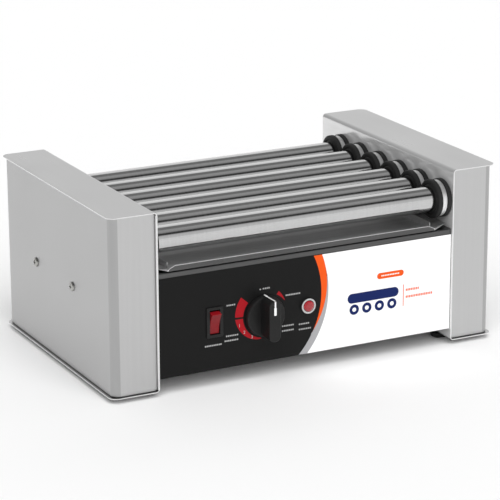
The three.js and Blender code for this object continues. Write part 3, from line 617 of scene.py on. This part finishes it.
for word, side in (("left", -1), ("right", 1)):
    end_frame(word, side)
    end_cover(word, side)
    front_hem(word, side)
    for place in COVER_SCREWS:
        cover_screw(word, side, place)


# ---- feet ----------------------------------------------------------------------------------
for place in ("front_left", "front_right", "rear_left", "rear_right"):
    node = "foot_" + place
    bottom, top = low(node).z, high(node).z
    outline = [(bottom + 1.6, 0), (bottom + 1.6, 3.2), (bottom, 3.8), (bottom, 8.6), (top, 9.7), (top, 0)]
    profile = filleted(outline, [0, 0, 0.4, 1.6, 0.3, 0], 5, closed=False)
    foot = lathe(node + "_pad", profile, "z", middle(node), black_rubber, 56)
    mounted(foot, "housing", "black_rubber", node)


# ---- front panel ---------------------------------------------------------------------------
def around_switch(half_width, half_height, radius):
    x, z = SWITCH.x, SWITCH.z
    return rectangle(x - half_width, x + half_width, z - half_height, z + half_height, radius, 4)


SHAFT_HOLE_RADIUS = 5.1
LAMP_HOLE_RADIUS = 6.5
PANEL_DROP = 1.8  # the sheet's lower fold hangs this far below the CAD panel


def panel_cutters(before, behind):
    return [
        prism("hole", around_switch(7.3, 14.6, 0.8), "y", before, behind, base_steel),
        rod("hole", "y", SHAFT_HOLE_RADIUS, before, behind, KNOB, base_steel),
        rod("hole", "y", LAMP_HOLE_RADIUS, before, behind, LAMP, base_steel),
    ]


def front_panel():
    panel_low, panel_high = low("front_panel"), high("front_panel")
    panel_low.z -= PANEL_DROP
    corners = [
        (panel_high.y, panel_high.z),
        (panel_low.y, panel_high.z),
        (panel_low.y, panel_low.z),
        (panel_high.y - 2, panel_low.z),
    ]
    path = filleted(corners, PANEL_BEND, 6, closed=False)
    span = (panel_low.x, panel_high.x)
    # The panel sheet takes the near-black steel: painted shade.
    panel = bent_sheet("front_panel_sheet", path, PANEL_SHEET, "x", *span, PANEL_STEEL_PAINTED_SHADE)
    carved(panel, panel_cutters(panel_low.y - 5, panel_low.y + 6))
    bevelled(panel, PANEL_EDGE, 2, 50)
    mounted(panel, "housing", "stainless", "front_panel")


front_panel()

# ---- printed film on the panel -------------------------------------------------------------
FILM_LOW, FILM_HIGH = low("control_overlay"), high("control_overlay")
FILM_LOW.z -= PANEL_DROP
FILM_GAP = 0.2  # between the film and each web
FILM_LOW.x, FILM_HIGH.x = -WEB_X + FILM_GAP, WEB_X - FILM_GAP
INK = 0.05  # each printed layer stands this far in front of the one below
INK_GAP = 0.005  # and starts this far in front of it


def arc_through(first, second, third, steps=28):
    """Points on the circle through three points, from the first to the third."""
    (ax, ay), (bx, by), (cx, cy) = first, second, third
    d = 2 * (ax * (by - cy) + bx * (cy - ay) + cx * (ay - by))
    a2, b2, c2 = ax * ax + ay * ay, bx * bx + by * by, cx * cx + cy * cy
    ux = (a2 * (by - cy) + b2 * (cy - ay) + c2 * (ay - by)) / d
    uy = (a2 * (cx - bx) + b2 * (ax - cx) + c2 * (bx - ax)) / d
    radius = math.hypot(ax - ux, ay - uy)
    start = math.atan2(ay - uy, ax - ux)
    turn = (math.atan2(cy - uy, cx - ux) - start + math.pi) % (2 * math.pi) - math.pi
    angles = [start + turn * k / steps for k in range(steps + 1)]
    return [(ux + radius * math.cos(a), uy + radius * math.sin(a)) for a in angles]


def ink(name, outline, material, layer):
    """A flat printed shape, layer steps in front of the film."""
    face, back = FILM_Y - INK * layer, FILM_Y - INK * (layer - 1) - INK_GAP
    piece = prism(name, outline, "y", face, back, material)
    return mounted(piece, "housing", "printed_film")


def from_base(points):
    return [(x, z + BASE_Z) for x, z in points]


def film():
    outline = rectangle(FILM_LOW.x, FILM_HIGH.x, FILM_LOW.z, FILM_HIGH.z, 0.8, 3)
    sheet = prism("control_film", outline, "y", FILM_LOW.y, FILM_HIGH.y, film_black)
    carved(sheet, panel_cutters(FILM_LOW.y - 2, FILM_HIGH.y + 2))
    mounted(sheet, "housing", "printed_film", "control_overlay")


def swoosh():
    """Orange and silver crescents between the black and the white half of the film."""
    top, bottom = FILM_HIGH.z - BASE_Z - 0.3, FILM_LOW.z - BASE_Z + 0.3
    right = FILM_HIGH.x - 0.3
    black_edge = arc_through((5.6, top), (14.6, 80), (-11.7, bottom))
    orange_edge = arc_through((15.3, top), (21.2, 90), (3.0, 34.5))
    white_edge = arc_through((21.6, 95), (21.6, 63.5), (-2.0, bottom))
    upper = arc_through((15.3, top), (18.9, 106), (21.3, 95), 8)
    ink("white_half", from_base([(right, bottom), (right, top)] + upper + white_edge), film_white, 1)
    below = [p for p in black_edge if p[1] < 34.5]
    inner = [p for p in orange_edge if p[1] < 95]
    ink("silver_crescent", from_base(inner + below + white_edge[::-1]), film_silver, 2)
    above = [p for p in black_edge if p[1] >= 34.5]
    ink("orange_crescent", from_base(above + orange_edge[::-1]), film_orange, 3)


def dial_band(name, start, end, outer, inner):
    """A red band round the knob that gets narrower. Angles in degrees from +X."""
    steps = 24
    outside, inside = [], []
    for k in range(steps + 1):
        share = k / steps
        angle = math.radians(start + (end - start) * share)
        for radii, side in ((outer, outside), (inner, inside)):
            radius = radii[0] + (radii[1] - radii[0]) * share
            side.append((KNOB.x + radius * math.cos(angle), KNOB.z + radius * math.sin(angle)))
    ink(name, outside + inside[::-1], film_red, 1)


def text_bar(name, x0, x1, z, material=film_mark, height=1.6, layer=2):
    """Stands for a printed word: a row of small upright strokes that form no letters."""
    width, space = 1.4, 0.6
    count = max(2, round((x1 - x0) / (width + space)))
    pitch = (x1 - x0) / count
    bottom, top = z - height / 2 + BASE_Z, z + height / 2 + BASE_Z
    for k in range(count):
        left = x0 + pitch * k
        ink("%s_%d" % (name, k + 1), rectangle(left, left + width, bottom, top, 0.3, 2), material, layer)


def numeral(text, x, z, size=4.6):
    curve = bpy.data.curves.new("dial_%s" % text, "FONT")
    curve.body = text
    curve.size = size * MM
    curve.extrude = 0.02 * MM
    curve.align_x, curve.align_y = "CENTER", "CENTER"
    curve.materials.append(film_mark)
    place = Matrix.Translation(Vector((x, FILM_Y - 0.09, z + BASE_Z)) * MM)
    number = meshed("dial_number_" + text, curve, place @ Matrix.Rotation(math.pi / 2, 4, "X"))
    mounted(number, "housing", "printed_film")


def film_print():
    dial_band("dial_band_low", 139, 176, (34.6, 33.0), (24, 24))
    dial_band("dial_band_high", 180, 262, (32.8, 24.9), (24, 23.6))
    dial_band("dial_wedge", 54, 28, (28.6, 26.9), (24.6, 26.4))
    for text, x, z in (("1", -79.6, 55.4), ("2", -74.1, 47.6), ("3", -65.4, 41.4)):
        numeral(text, x, z)
    ink("off_dot", circle(-55.8, 90.5 + BASE_Z, 0.8, 20), film_mark, 2)
    text_bar("mark_off", -53.0, -44.4, 90.8)
    text_bar("mark_low", -94.0, -83.8, 79.0)
    text_bar("mark_high", -26.8, -9.6, 79.8)
    for row, z in (("upper", 46.6), ("lower", 41.6)):
        text_bar("mark_left_" + row, -94.9 if row == "upper" else -96.5, -80.6, z)
    for row, z in (("upper", 47.2), ("lower", 42.0)):
        text_bar("mark_right_" + row, -31.0, -17.0, z)
    for row, z in (("upper", 46.2), ("lower", 40.6)):
        text_bar("mark_lamp_" + row, -11.5, 3.0 if row == "lower" else 1.0, z)
    text_bar("mark_switch", -118.6, -99.4, 39.4)


def pictogram():
    """A sausage on four rollers under a lined pill, with a divider and two lines beside it."""
    ink("pill", rectangle(80.4, 112.4, 80.6 + BASE_Z, 87.2 + BASE_Z, 3.25, 8), film_orange, 2)
    text_bar("pill_line", 85.5, 107.5, 83.9, film_white, 1.4, 3)
    ink("sausage", rectangle(45.5, 106.5, 59.0 + BASE_Z, 69.5 + BASE_Z, 5.2, 10), film_navy, 2)
    first, pitch, z = 53.5, 15, 52.0 + BASE_Z
    for k in range(4):
        x = first + pitch * k
        ink("roller_dot_%d" % (k + 1), circle(x, z, 5.6, 40), film_navy, 2)
        ink("roller_eye_%d" % (k + 1), circle(x, z, 2.3, 28), film_white, 3)
    ink("divider", rectangle(111.8, 112.7, 47.0 + BASE_Z, 70.5 + BASE_Z), film_orange, 2)
    text_bar("side_line_upper", 115.2, 131.6, 64.2, film_orange, 2.6)
    text_bar("side_line_lower", 115.2, 148.0, 56.6, film_orange, 2.6)


film()
swoosh()
film_print()
pictogram()


# ---- base, deck, cable entry ---------------------------------------------------------------
VENT_COUNT, VENT_PITCH, VENT_WIDTH = 8, 14, 5
VENT_FIRST_X = 20
VENT_BOTTOM, VENT_TOP = 36, 76  # above the frames' underside
GLAND_HOLE_RADIUS = 8.3


def base_chassis():
    base_low, base_high = low("base_chassis"), high("base_chassis")
    corners = [
        (base_high.y - 9, base_high.z),
        (base_high.y, base_high.z),
        (base_high.y, base_low.z),
        (base_low.y, base_low.z),
    ]
    path = filleted(corners, PANEL_BEND, 6, closed=False)[::-1]
    span = (base_low.x, base_high.x)
    chassis = bent_sheet("base_and_rear", path, PANEL_SHEET, "x", *span, BASE_STEEL)
    reach = (base_high.y - 6, base_high.y + 6)
    cutters = [rod("hole", "y", GLAND_HOLE_RADIUS, *reach, middle("cord_gland"), base_steel)]
    for i in range(VENT_COUNT):
        left = VENT_FIRST_X + VENT_PITCH * i
        slot = rectangle(left, left + VENT_WIDTH, VENT_BOTTOM + BASE_Z, VENT_TOP + BASE_Z, 2.4, 6)
        cutters.append(prism("slot", slot, "y", *reach, base_steel))
    carved(chassis, cutters)
    bevelled(chassis, PANEL_EDGE, 2, 50)
    mounted(chassis, "housing", "stainless", "base_chassis")


def cord_gland():
    outside, inside = high("cord_gland").y, low("cord_gland").y
    profile = [(outside, 4.5), (outside, 9), (outside - 2.5, 11), (outside - 2.5, 7.9), (outside - 4, 7.9)]
    profile += [(outside - 4, 10.5), (inside, 9.5), (inside, 4.5)]
    radii = [0.8, 0.8, 0.4, 0, 0, 0.4, 0.6, 0.6]
    outline = filleted(profile, radii, 4)
    gland = lathe("cord_bush", outline, "y", middle("cord_gland"), black_plastic, 64, closed=True)
    mounted(gland, "housing", "black_plastic", "cord_gland")


def tray_deck():
    deck_low, deck_high = low("tray_deck"), high("tray_deck")
    outline = rectangle(deck_low.x, deck_high.x, deck_low.y, deck_high.y)
    deck = prism("deck_sheet", outline, "z", deck_low.z, deck_high.z, tray_steel, 0.25)
    mounted(deck, "housing", "stainless", "tray_deck")


base_chassis()
cord_gland()
tray_deck()


# ---- drip tray -----------------------------------------------------------------------------
TRAY_LEFT, TRAY_RIGHT = -158.4, 149.4
TRAY_LIP_TOP = 129.6
TRAY_TAB_TOP = 126.3
TRAY_SHEET = 0.9
TRAY_EDGE = 0.2
TRAY_GAP = 0.7  # the lip starts this far above the tray's underside
TRAY_WALL_INSET = 2
TRAY_HEM_RADIUS = 0.7
LEFT_CUT, RIGHT_CUT = 10, 11.5  # how far the tabs' front corners are cut back


def drip_tray():
    tray_low, tray_high = low("drip_tray"), high("drip_tray")
    sheet, gap, inset, edge_round = TRAY_SHEET, TRAY_GAP, TRAY_WALL_INSET, TRAY_EDGE
    floor, front, back = tray_low.z, tray_low.y, tray_high.y
    tab = tray_high.x
    lip_top = BASE_Z + TRAY_LIP_TOP
    tab_top = BASE_Z + TRAY_TAB_TOP
    left, right, slope = TRAY_LEFT + 0.5, TRAY_RIGHT - 0.5, 7.2
    lip = [
        (left, floor + gap),
        (right, floor + gap),
        (right, tab_top),
        (right - slope, lip_top),
        (left + slope, lip_top),
        (left, tab_top),
    ]
    lip = filleted(lip, [0, 0, 2, 4, 4, 2], 5)
    pan = rectangle(left, right, front + 2, back, 1, 3)
    step = rectangle(left, right, front + 0.2, front + 2.5)
    # The lip and the step below take the near-black steel: painted shade.
    pieces = [
        prism("floor", pan, "z", floor, floor + sheet, tray_steel, edge_round),
        prism("lip", lip, "y", front, front + sheet, dark_steel_painted_shade, edge_round),
        prism("step", step, "z", floor + gap, floor + gap + 0.5, dark_steel_painted_shade),
    ]
    ends = ((-1, left, left + inset, LEFT_CUT), (1, right, right - inset, RIGHT_CUT))
    for side, edge, wall, cut_back in ends:
        corner = front + 0.3
        outer = side * tab
        outline = [(wall, corner), (edge, corner), (outer, front + cut_back), (outer, back), (wall, back)]
        outline = filleted(outline, [0, 1, 2, 1, 0], 4)
        pieces.append(prism("tab", outline, "z", tab_top - sheet, tab_top, tray_steel, edge_round))
    hem_y = front + TRAY_HEM_RADIUS
    hem = [(-tab + 0.8, front + (LEFT_CUT + 0.4), tab_top - 0.4)]
    hem += [(x, hem_y, z - 0.2) for x, z in reversed(lip[2:])]
    hem += [(tab - 0.8, front + (RIGHT_CUT + 0.4), tab_top - 0.4)]
    # The hem is painted lighter: painted highlight along the edge.
    pieces.append(bead("hem", hem, TRAY_HEM_RADIUS, cut_edge_painted_highlight))
    for wall in (TRAY_LEFT + inset, TRAY_RIGHT - inset - sheet):
        side = rectangle(front + 7, back - 0.4, floor + 0.3, tray_high.z, 1.0, 4)
        pieces.append(prism("side", side, "x", wall, wall + sheet, tray_steel, edge_round))
    rear = rectangle(TRAY_LEFT + inset, TRAY_RIGHT - inset, floor + 0.3, tray_high.z, 1, 3)
    pieces.append(prism("rear", rear, "y", back - sheet, back, tray_steel, edge_round))
    mounted(joined("drip_tray_pan", pieces), "tray", "stainless", "drip_tray")


drip_tray()


# ---- rollers and their ends ----------------------------------------------------------------
ROLLER_RADIUS = 13.45
TUBE_BORE = 12.2
JOURNAL_RADIUS, JOURNAL_BORE = 7, 4.9
PLUG_LENGTH = 8  # at each end of a tube, where only the journal's bore runs through
SEAL_RADIUS, LEFT_SEAL_RADIUS = 20.5, 20
SEAL_BORE = 7.5
SPIGOT_RADIUS = 10.8  # the part of a seal that sits in the web's hole
BAND_START, BAND_END = 158.6, 164.4


def roller(i):
    centre = middle("roller_%d" % i)
    left, right = high("left_bearing_%d" % i).x + 0.3, low("right_bearing_%d" % i).x - 0.3
    ends = low("roller_%d" % i).x, high("roller_%d" % i).x
    outline = [
        (ends[0], JOURNAL_BORE),
        (ends[0], JOURNAL_RADIUS),
        (left, JOURNAL_RADIUS),
        (left, ROLLER_RADIUS),
        (right, ROLLER_RADIUS),
        (right, JOURNAL_RADIUS),
        (ends[1], JOURNAL_RADIUS),
        (ends[1], JOURNAL_BORE),
        (right - PLUG_LENGTH, JOURNAL_BORE),
        (right - PLUG_LENGTH, TUBE_BORE),
        (left + PLUG_LENGTH, TUBE_BORE),
        (left + PLUG_LENGTH, JOURNAL_BORE),
    ]
    radii = [0.3, 0.6, 0, 1.2, 1.2, 0, 0.6, 0.3, 0, 0, 0, 0]
    outline = filleted(outline, radii, 5)
    tube = lathe("roller_tube_%d" % i, outline, "x", centre, roller_steel, 96, closed=True)
    mounted(tube, "roller_%d_assembly" % i, "chrome", "roller_%d" % i)


def right_end_stack(i):
    """Black cup, steel band and black collar round the journal, with a spigot into the web."""
    node = "right_bearing_%d" % i
    centre = middle(node)
    start, end = low(node).x, high(node).x
    web = WEB_X - 0.3
    cup = [
        (start, SEAL_BORE),
        (start, 14.4),
        (start + 0.9, 15.4),
        (start, 16.6),
        (start, SEAL_RADIUS),
        (BAND_START, SEAL_RADIUS),
        (BAND_START, SEAL_BORE),
    ]
    band = rectangle(BAND_START + 0.05, BAND_END - 0.05, 8, 19.3)
    collar = [
        (BAND_END, SEAL_BORE),
        (BAND_END, SEAL_RADIUS),
        (web, SEAL_RADIUS),
        (web, SPIGOT_RADIUS),
        (end, SPIGOT_RADIUS),
        (end, SEAL_BORE),
    ]
    cup = filleted(cup, [0, 0.3, 0.5, 0.3, 1.6, 0.5, 0], 4)
    band = filleted(band, [0, 0, 0.5, 0.5], 4)
    collar = filleted(collar, [0, 1.0, 1.0, 0, 0.5, 0], 4)
    pieces = [
        lathe("cup", cup, "x", centre, black_rubber, 80, closed=True),
        lathe("band", band, "x", centre, band_steel, 80, closed=True),
        lathe("collar", collar, "x", centre, black_rubber, 80, closed=True),
    ]
    mounted(joined("right_end_stack_%d" % i, pieces), "housing", "black_rubber", node)


def left_end_seal(i):
    node = "left_bearing_%d" % i
    start, end = low(node).x, high(node).x
    web = -WEB_X + 0.3
    outline = [
        (end, SEAL_BORE),
        (end, LEFT_SEAL_RADIUS),
        (web, LEFT_SEAL_RADIUS),
        (web, SPIGOT_RADIUS),
        (start, SPIGOT_RADIUS),
        (start, SEAL_BORE),
    ]
    profile = filleted(outline, [0, 0.9, 0.4, 0, 0.5, 0], 4)
    seal = lathe("left_end_seal_%d" % i, profile, "x", middle(node), black_rubber, 80, closed=True)
    mounted(seal, "housing", "black_rubber", node)


for i in ROLLERS:
    roller(i)
    right_end_stack(i)
    left_end_seal(i)


# ---- rocker switch -------------------------------------------------------------------------
CAVITY_DEPTH = 12  # room for the rocker, from the bezel's front


def switch_housing():
    node = "switch_housing"
    front, back = low(node).y, high(node).y
    bezel_back = FILM_Y - 0.1
    rim = around_switch(9.25, 16, 1.6)
    bezel = prism("bezel", rim, "y", front, bezel_back, black_plastic, 0.5, 3)
    can = around_switch(7, 14.3, 0.6)
    body = prism("body", can, "y", bezel_back - 0.2, back, black_plastic, 0.3)
    cavity = around_switch(5.8, 13.1, 0.5)
    for piece in (bezel, body):
        carved(piece, [prism("cavity", cavity, "y", front - 3, front + CAVITY_DEPTH, black_plastic)])
    mounted(joined("switch_case", [bezel, body]), "housing", "black_plastic", node)


def switch_rocker():
    """Side view in (y, z) from the pivot, before the tilt: a hollowed face and a rounded heel."""
    joint = next(j for j in frame["joints"] if j["name"] == "rocker_tilt")
    pivot = Vector(joint["pos_m"]) / MM
    reach, half_width, tilt = 11.4, 5.4, 0.3
    face = arc_through((-5.3, -reach), (-3.7, 0), (-5.3, reach), 20)
    heel = filleted([(1.5, reach), (4.6, 4), (4.6, -4), (1.5, -reach)], [0, 3, 3, 0], 5, closed=False)
    c, s = math.cos(tilt), math.sin(tilt)
    outline = [(pivot.y + c * y - s * z, pivot.z + s * y + c * z) for y, z in face + heel]
    span = (pivot.x - half_width, pivot.x + half_width)
    rocker = prism("rocker_cap", outline, "x", *span, rocker_red, 0.45, 3)
    mounted(rocker, "rocker", "red_plastic", "switch_rocker")


switch_housing()
switch_rocker()


# ---- heat knob -----------------------------------------------------------------------------
def heat_knob():
    node = "heat_knob"
    front, back = low(node).y + 0.1, high(node).y
    skirt_front = back - 5.8
    skirt = [
        (skirt_front, 0),
        (skirt_front, 20.2),
        (skirt_front + 1.5, 21.4),
        (back, 21.8),
        (back, 9),
        (back - 3.3, 9),
        (back - 3.3, 3.3),
        (front + 5, 3.3),
        (front + 5, 0),
    ]
    radii = [0, 0.8, 0.8, 0.4, 0.2, 0, 0, 0, 0]
    base = lathe("knob", filleted(skirt, radii, 4, closed=False), "y", KNOB, black_plastic, 96)
    x, z = KNOB.x, KNOB.z
    half_width, half_length = 6.6, 21.6
    grip_outline = rectangle(x - half_width, x + half_width, z - half_length, z + half_length, 6.0, 10)
    grip = prism("grip", grip_outline, "y", front, skirt_front + 1, black_plastic, 1.1, 4)
    bore = rod("bore", "y", 3.35, front + 5, back + 2, KNOB, black_plastic, 40)
    carved(grip, [bore])
    face = front - 0.06
    line = (x - 0.85, x + 0.85, pointer_white)
    thick = rectangle(x - 1.35, x + 1.35, z + 6.5, z + 15, 0.6, 3)
    thin = rectangle(line[0], line[1], z + 14.5, z + 20.9)
    strips = [
        prism("pointer", thick, "y", face, front + 0.2, pointer_white, 0.05),
        prism("pointer", thin, "y", face, front + 0.2, pointer_white, 0.05),
        prism("pointer", rectangle(front + 0.5, skirt_front, z + 21.5, z + 21.72), "x", *line),
        prism("pointer", rectangle(skirt_front, back - 0.2, z + 20.5, z + 21.95), "x", *line),
    ]
    mounted(joined("heat_knob_cap", [base, grip] + strips), "knob_and_shaft", "black_plastic", node)


heat_knob()


# ---- pilot lamp ----------------------------------------------------------------------------
def pilot_lamp():
    front = low("pilot_body").y
    back = high("pilot_body").y
    seat = FILM_Y - 0.1
    ring = [
        (front, 6.3),
        (front, 8.1),
        (seat, 8.7),
        (seat, 6.2),
        (back, 6.2),
        (back, 0),
        (seat + 1, 0),
        (seat + 1, 5),
        (seat - 0.8, 6.3),
    ]
    ring = filleted(ring, [0.4, 0.5, 0.2, 0, 0.3, 0, 0, 0, 0], 5, closed=False)
    body = lathe("pilot_ring", ring, "y", LAMP, bright_trim, 72, closed=True)
    mounted(body, "housing", "chrome", "pilot_body")
    lens_front, lens_back = low("pilot_lens").y, high("pilot_lens").y
    rings = [(lens_back, 0), (lens_back, 5.8)]
    facets = [(1.6, 5.8), (0.9, 4.6), (0.5, 4.3), (0, 2.6), (0.3, 2.2), (0.1, 0)]
    rings += [(lens_front + depth, radius) for depth, radius in facets]
    lens = lathe("pilot_lens_jewel", rings, "y", LAMP, lens_red, 12, sharp=8)
    bevelled(lens, 0.12, 2, 15, 20)
    mounted(lens, "housing", "red_lens", "pilot_lens")


pilot_lamp()

# ---- CAD nodes that keep their shape -------------------------------------------------------
KEPT = {
    "sprocket": zinc,
    "motor_output_sprocket": zinc,
    "control_shaft": zinc,
    "element_bracket": zinc,
    "heating_element": sheath,
    "drive_chain": oiled_steel,
    "gearmotor": motor_enamel,
    "heat_control": black_plastic,
}
for node, piece in frame["nodes"].items():
    for start, material in KEPT.items():
        if node.startswith(start):
            piece.data.materials.clear()
            piece.data.materials.append(material)


# ---- floor, light, camera ------------------------------------------------------------------
def floor():
    shader = Shader("floor", grey(0.96), 0.8, Specular_IOR_Level=0.1)
    mesh = bpy.data.meshes.new("floor")
    half = 30  # metres
    corners = [(-half, -half, 0), (half, -half, 0), (half, half, 0), (-half, half, 0)]
    mesh.from_pydata(corners, [], [(0, 1, 2, 3)])
    mesh.materials.append(shader.material)
    plane = bpy.data.objects.new("floor", mesh)
    bpy.context.scene.collection.objects.link(plane)


# Brightness seen at an angle over the machine: 0 is the rear horizon, 0.5 overhead and 1 the
# front horizon. White walls behind and in front, a soft panel overhead, darker gaps between.
SKY = [
    (0.0, 1.0),
    (0.27, 1.0),
    (0.33, 0.22),
    (0.46, 0.24),
    (0.51, 0.46),
    (0.63, 0.38),
    (0.685, 0.04),
    (0.745, 0.04),
    (0.79, 0.68),
    (0.90, 0.78),
    (0.94, 1.0),
]


# The wall at the left is darker: strength by the direction's X.
LEFT_WALL = {"From Min": -0.85, "From Max": 0.44, "To Min": 0.53, "To Max": 1.0}


def studio():
    world = bpy.data.worlds.new("studio")
    world.use_nodes = True
    tree = world.node_tree
    direction = tree.nodes.new("ShaderNodeTexCoord").outputs["Generated"]
    split = tree.nodes.new("ShaderNodeSeparateXYZ")
    tree.links.new(direction, split.inputs[0])
    angle = tree.nodes.new("ShaderNodeMath")
    angle.operation = "ARCTAN2"
    tree.links.new(split.outputs["Z"], angle.inputs[0])
    tree.links.new(split.outputs["Y"], angle.inputs[1])
    share = tree.nodes.new("ShaderNodeMath")
    share.operation = "DIVIDE"
    share.inputs[1].default_value = math.pi
    tree.links.new(angle.outputs[0], share.inputs[0])
    ramp = tree.nodes.new("ShaderNodeValToRGB")
    stops = ramp.color_ramp.elements
    for place, _ in SKY[1:-1]:
        stops.new(place)
    for stop, (place, level) in zip(stops, SKY):
        stop.position = place
        stop.color = (level, level, level, 1)
    tree.links.new(share.outputs[0], ramp.inputs[0])
    tree.links.new(ramp.outputs[0], tree.nodes["Background"].inputs["Color"])
    side = tree.nodes.new("ShaderNodeMapRange")
    for socket, number in LEFT_WALL.items():
        side.inputs[socket].default_value = number
    tree.links.new(split.outputs["X"], side.inputs["Value"])
    tree.links.new(side.outputs["Result"], tree.nodes["Background"].inputs["Strength"])
    bpy.context.scene.world = world
    bpy.context.scene.view_settings.view_transform = "Standard"
    sun("soft_key", (-0.2, -0.6, 0.75), 2.7, 60)


def sun(name, towards, power, spread):
    light = bpy.data.lights.new(name, "SUN")
    light.energy = power
    light.angle = math.radians(spread)
    lamp = bpy.data.objects.new(name, light)
    lamp.rotation_mode = "QUATERNION"
    lamp.rotation_quaternion = Vector(towards).to_track_quat("Z", "Y")
    lamp.visible_glossy = False
    bpy.context.scene.collection.objects.link(lamp)


def camera():
    """Fitted to the corners of the end housings in the photograph. Place in metres."""
    data = bpy.data.cameras.new("camera")
    data.sensor_width = 36
    data.lens = 173.5
    data.clip_start, data.clip_end = 0.05, 100
    eye = bpy.data.objects.new("camera", data)
    eye.location = (-1.1225, -2.1821, 0.8415)
    azimuth, pitch, roll = math.radians(-27.18), math.radians(16.91), math.radians(0.24)
    level = math.cos(pitch)
    ahead = Vector((-math.sin(azimuth) * level, math.cos(azimuth) * level, -math.sin(pitch)))
    eye.rotation_mode = "QUATERNION"
    tilt = Matrix.Rotation(-roll, 3, "Z").to_quaternion()
    eye.rotation_quaternion = ahead.to_track_quat("-Z", "Y") @ tilt
    bpy.context.scene.collection.objects.link(eye)
    bpy.context.scene.camera = eye


floor()
studio()
camera()
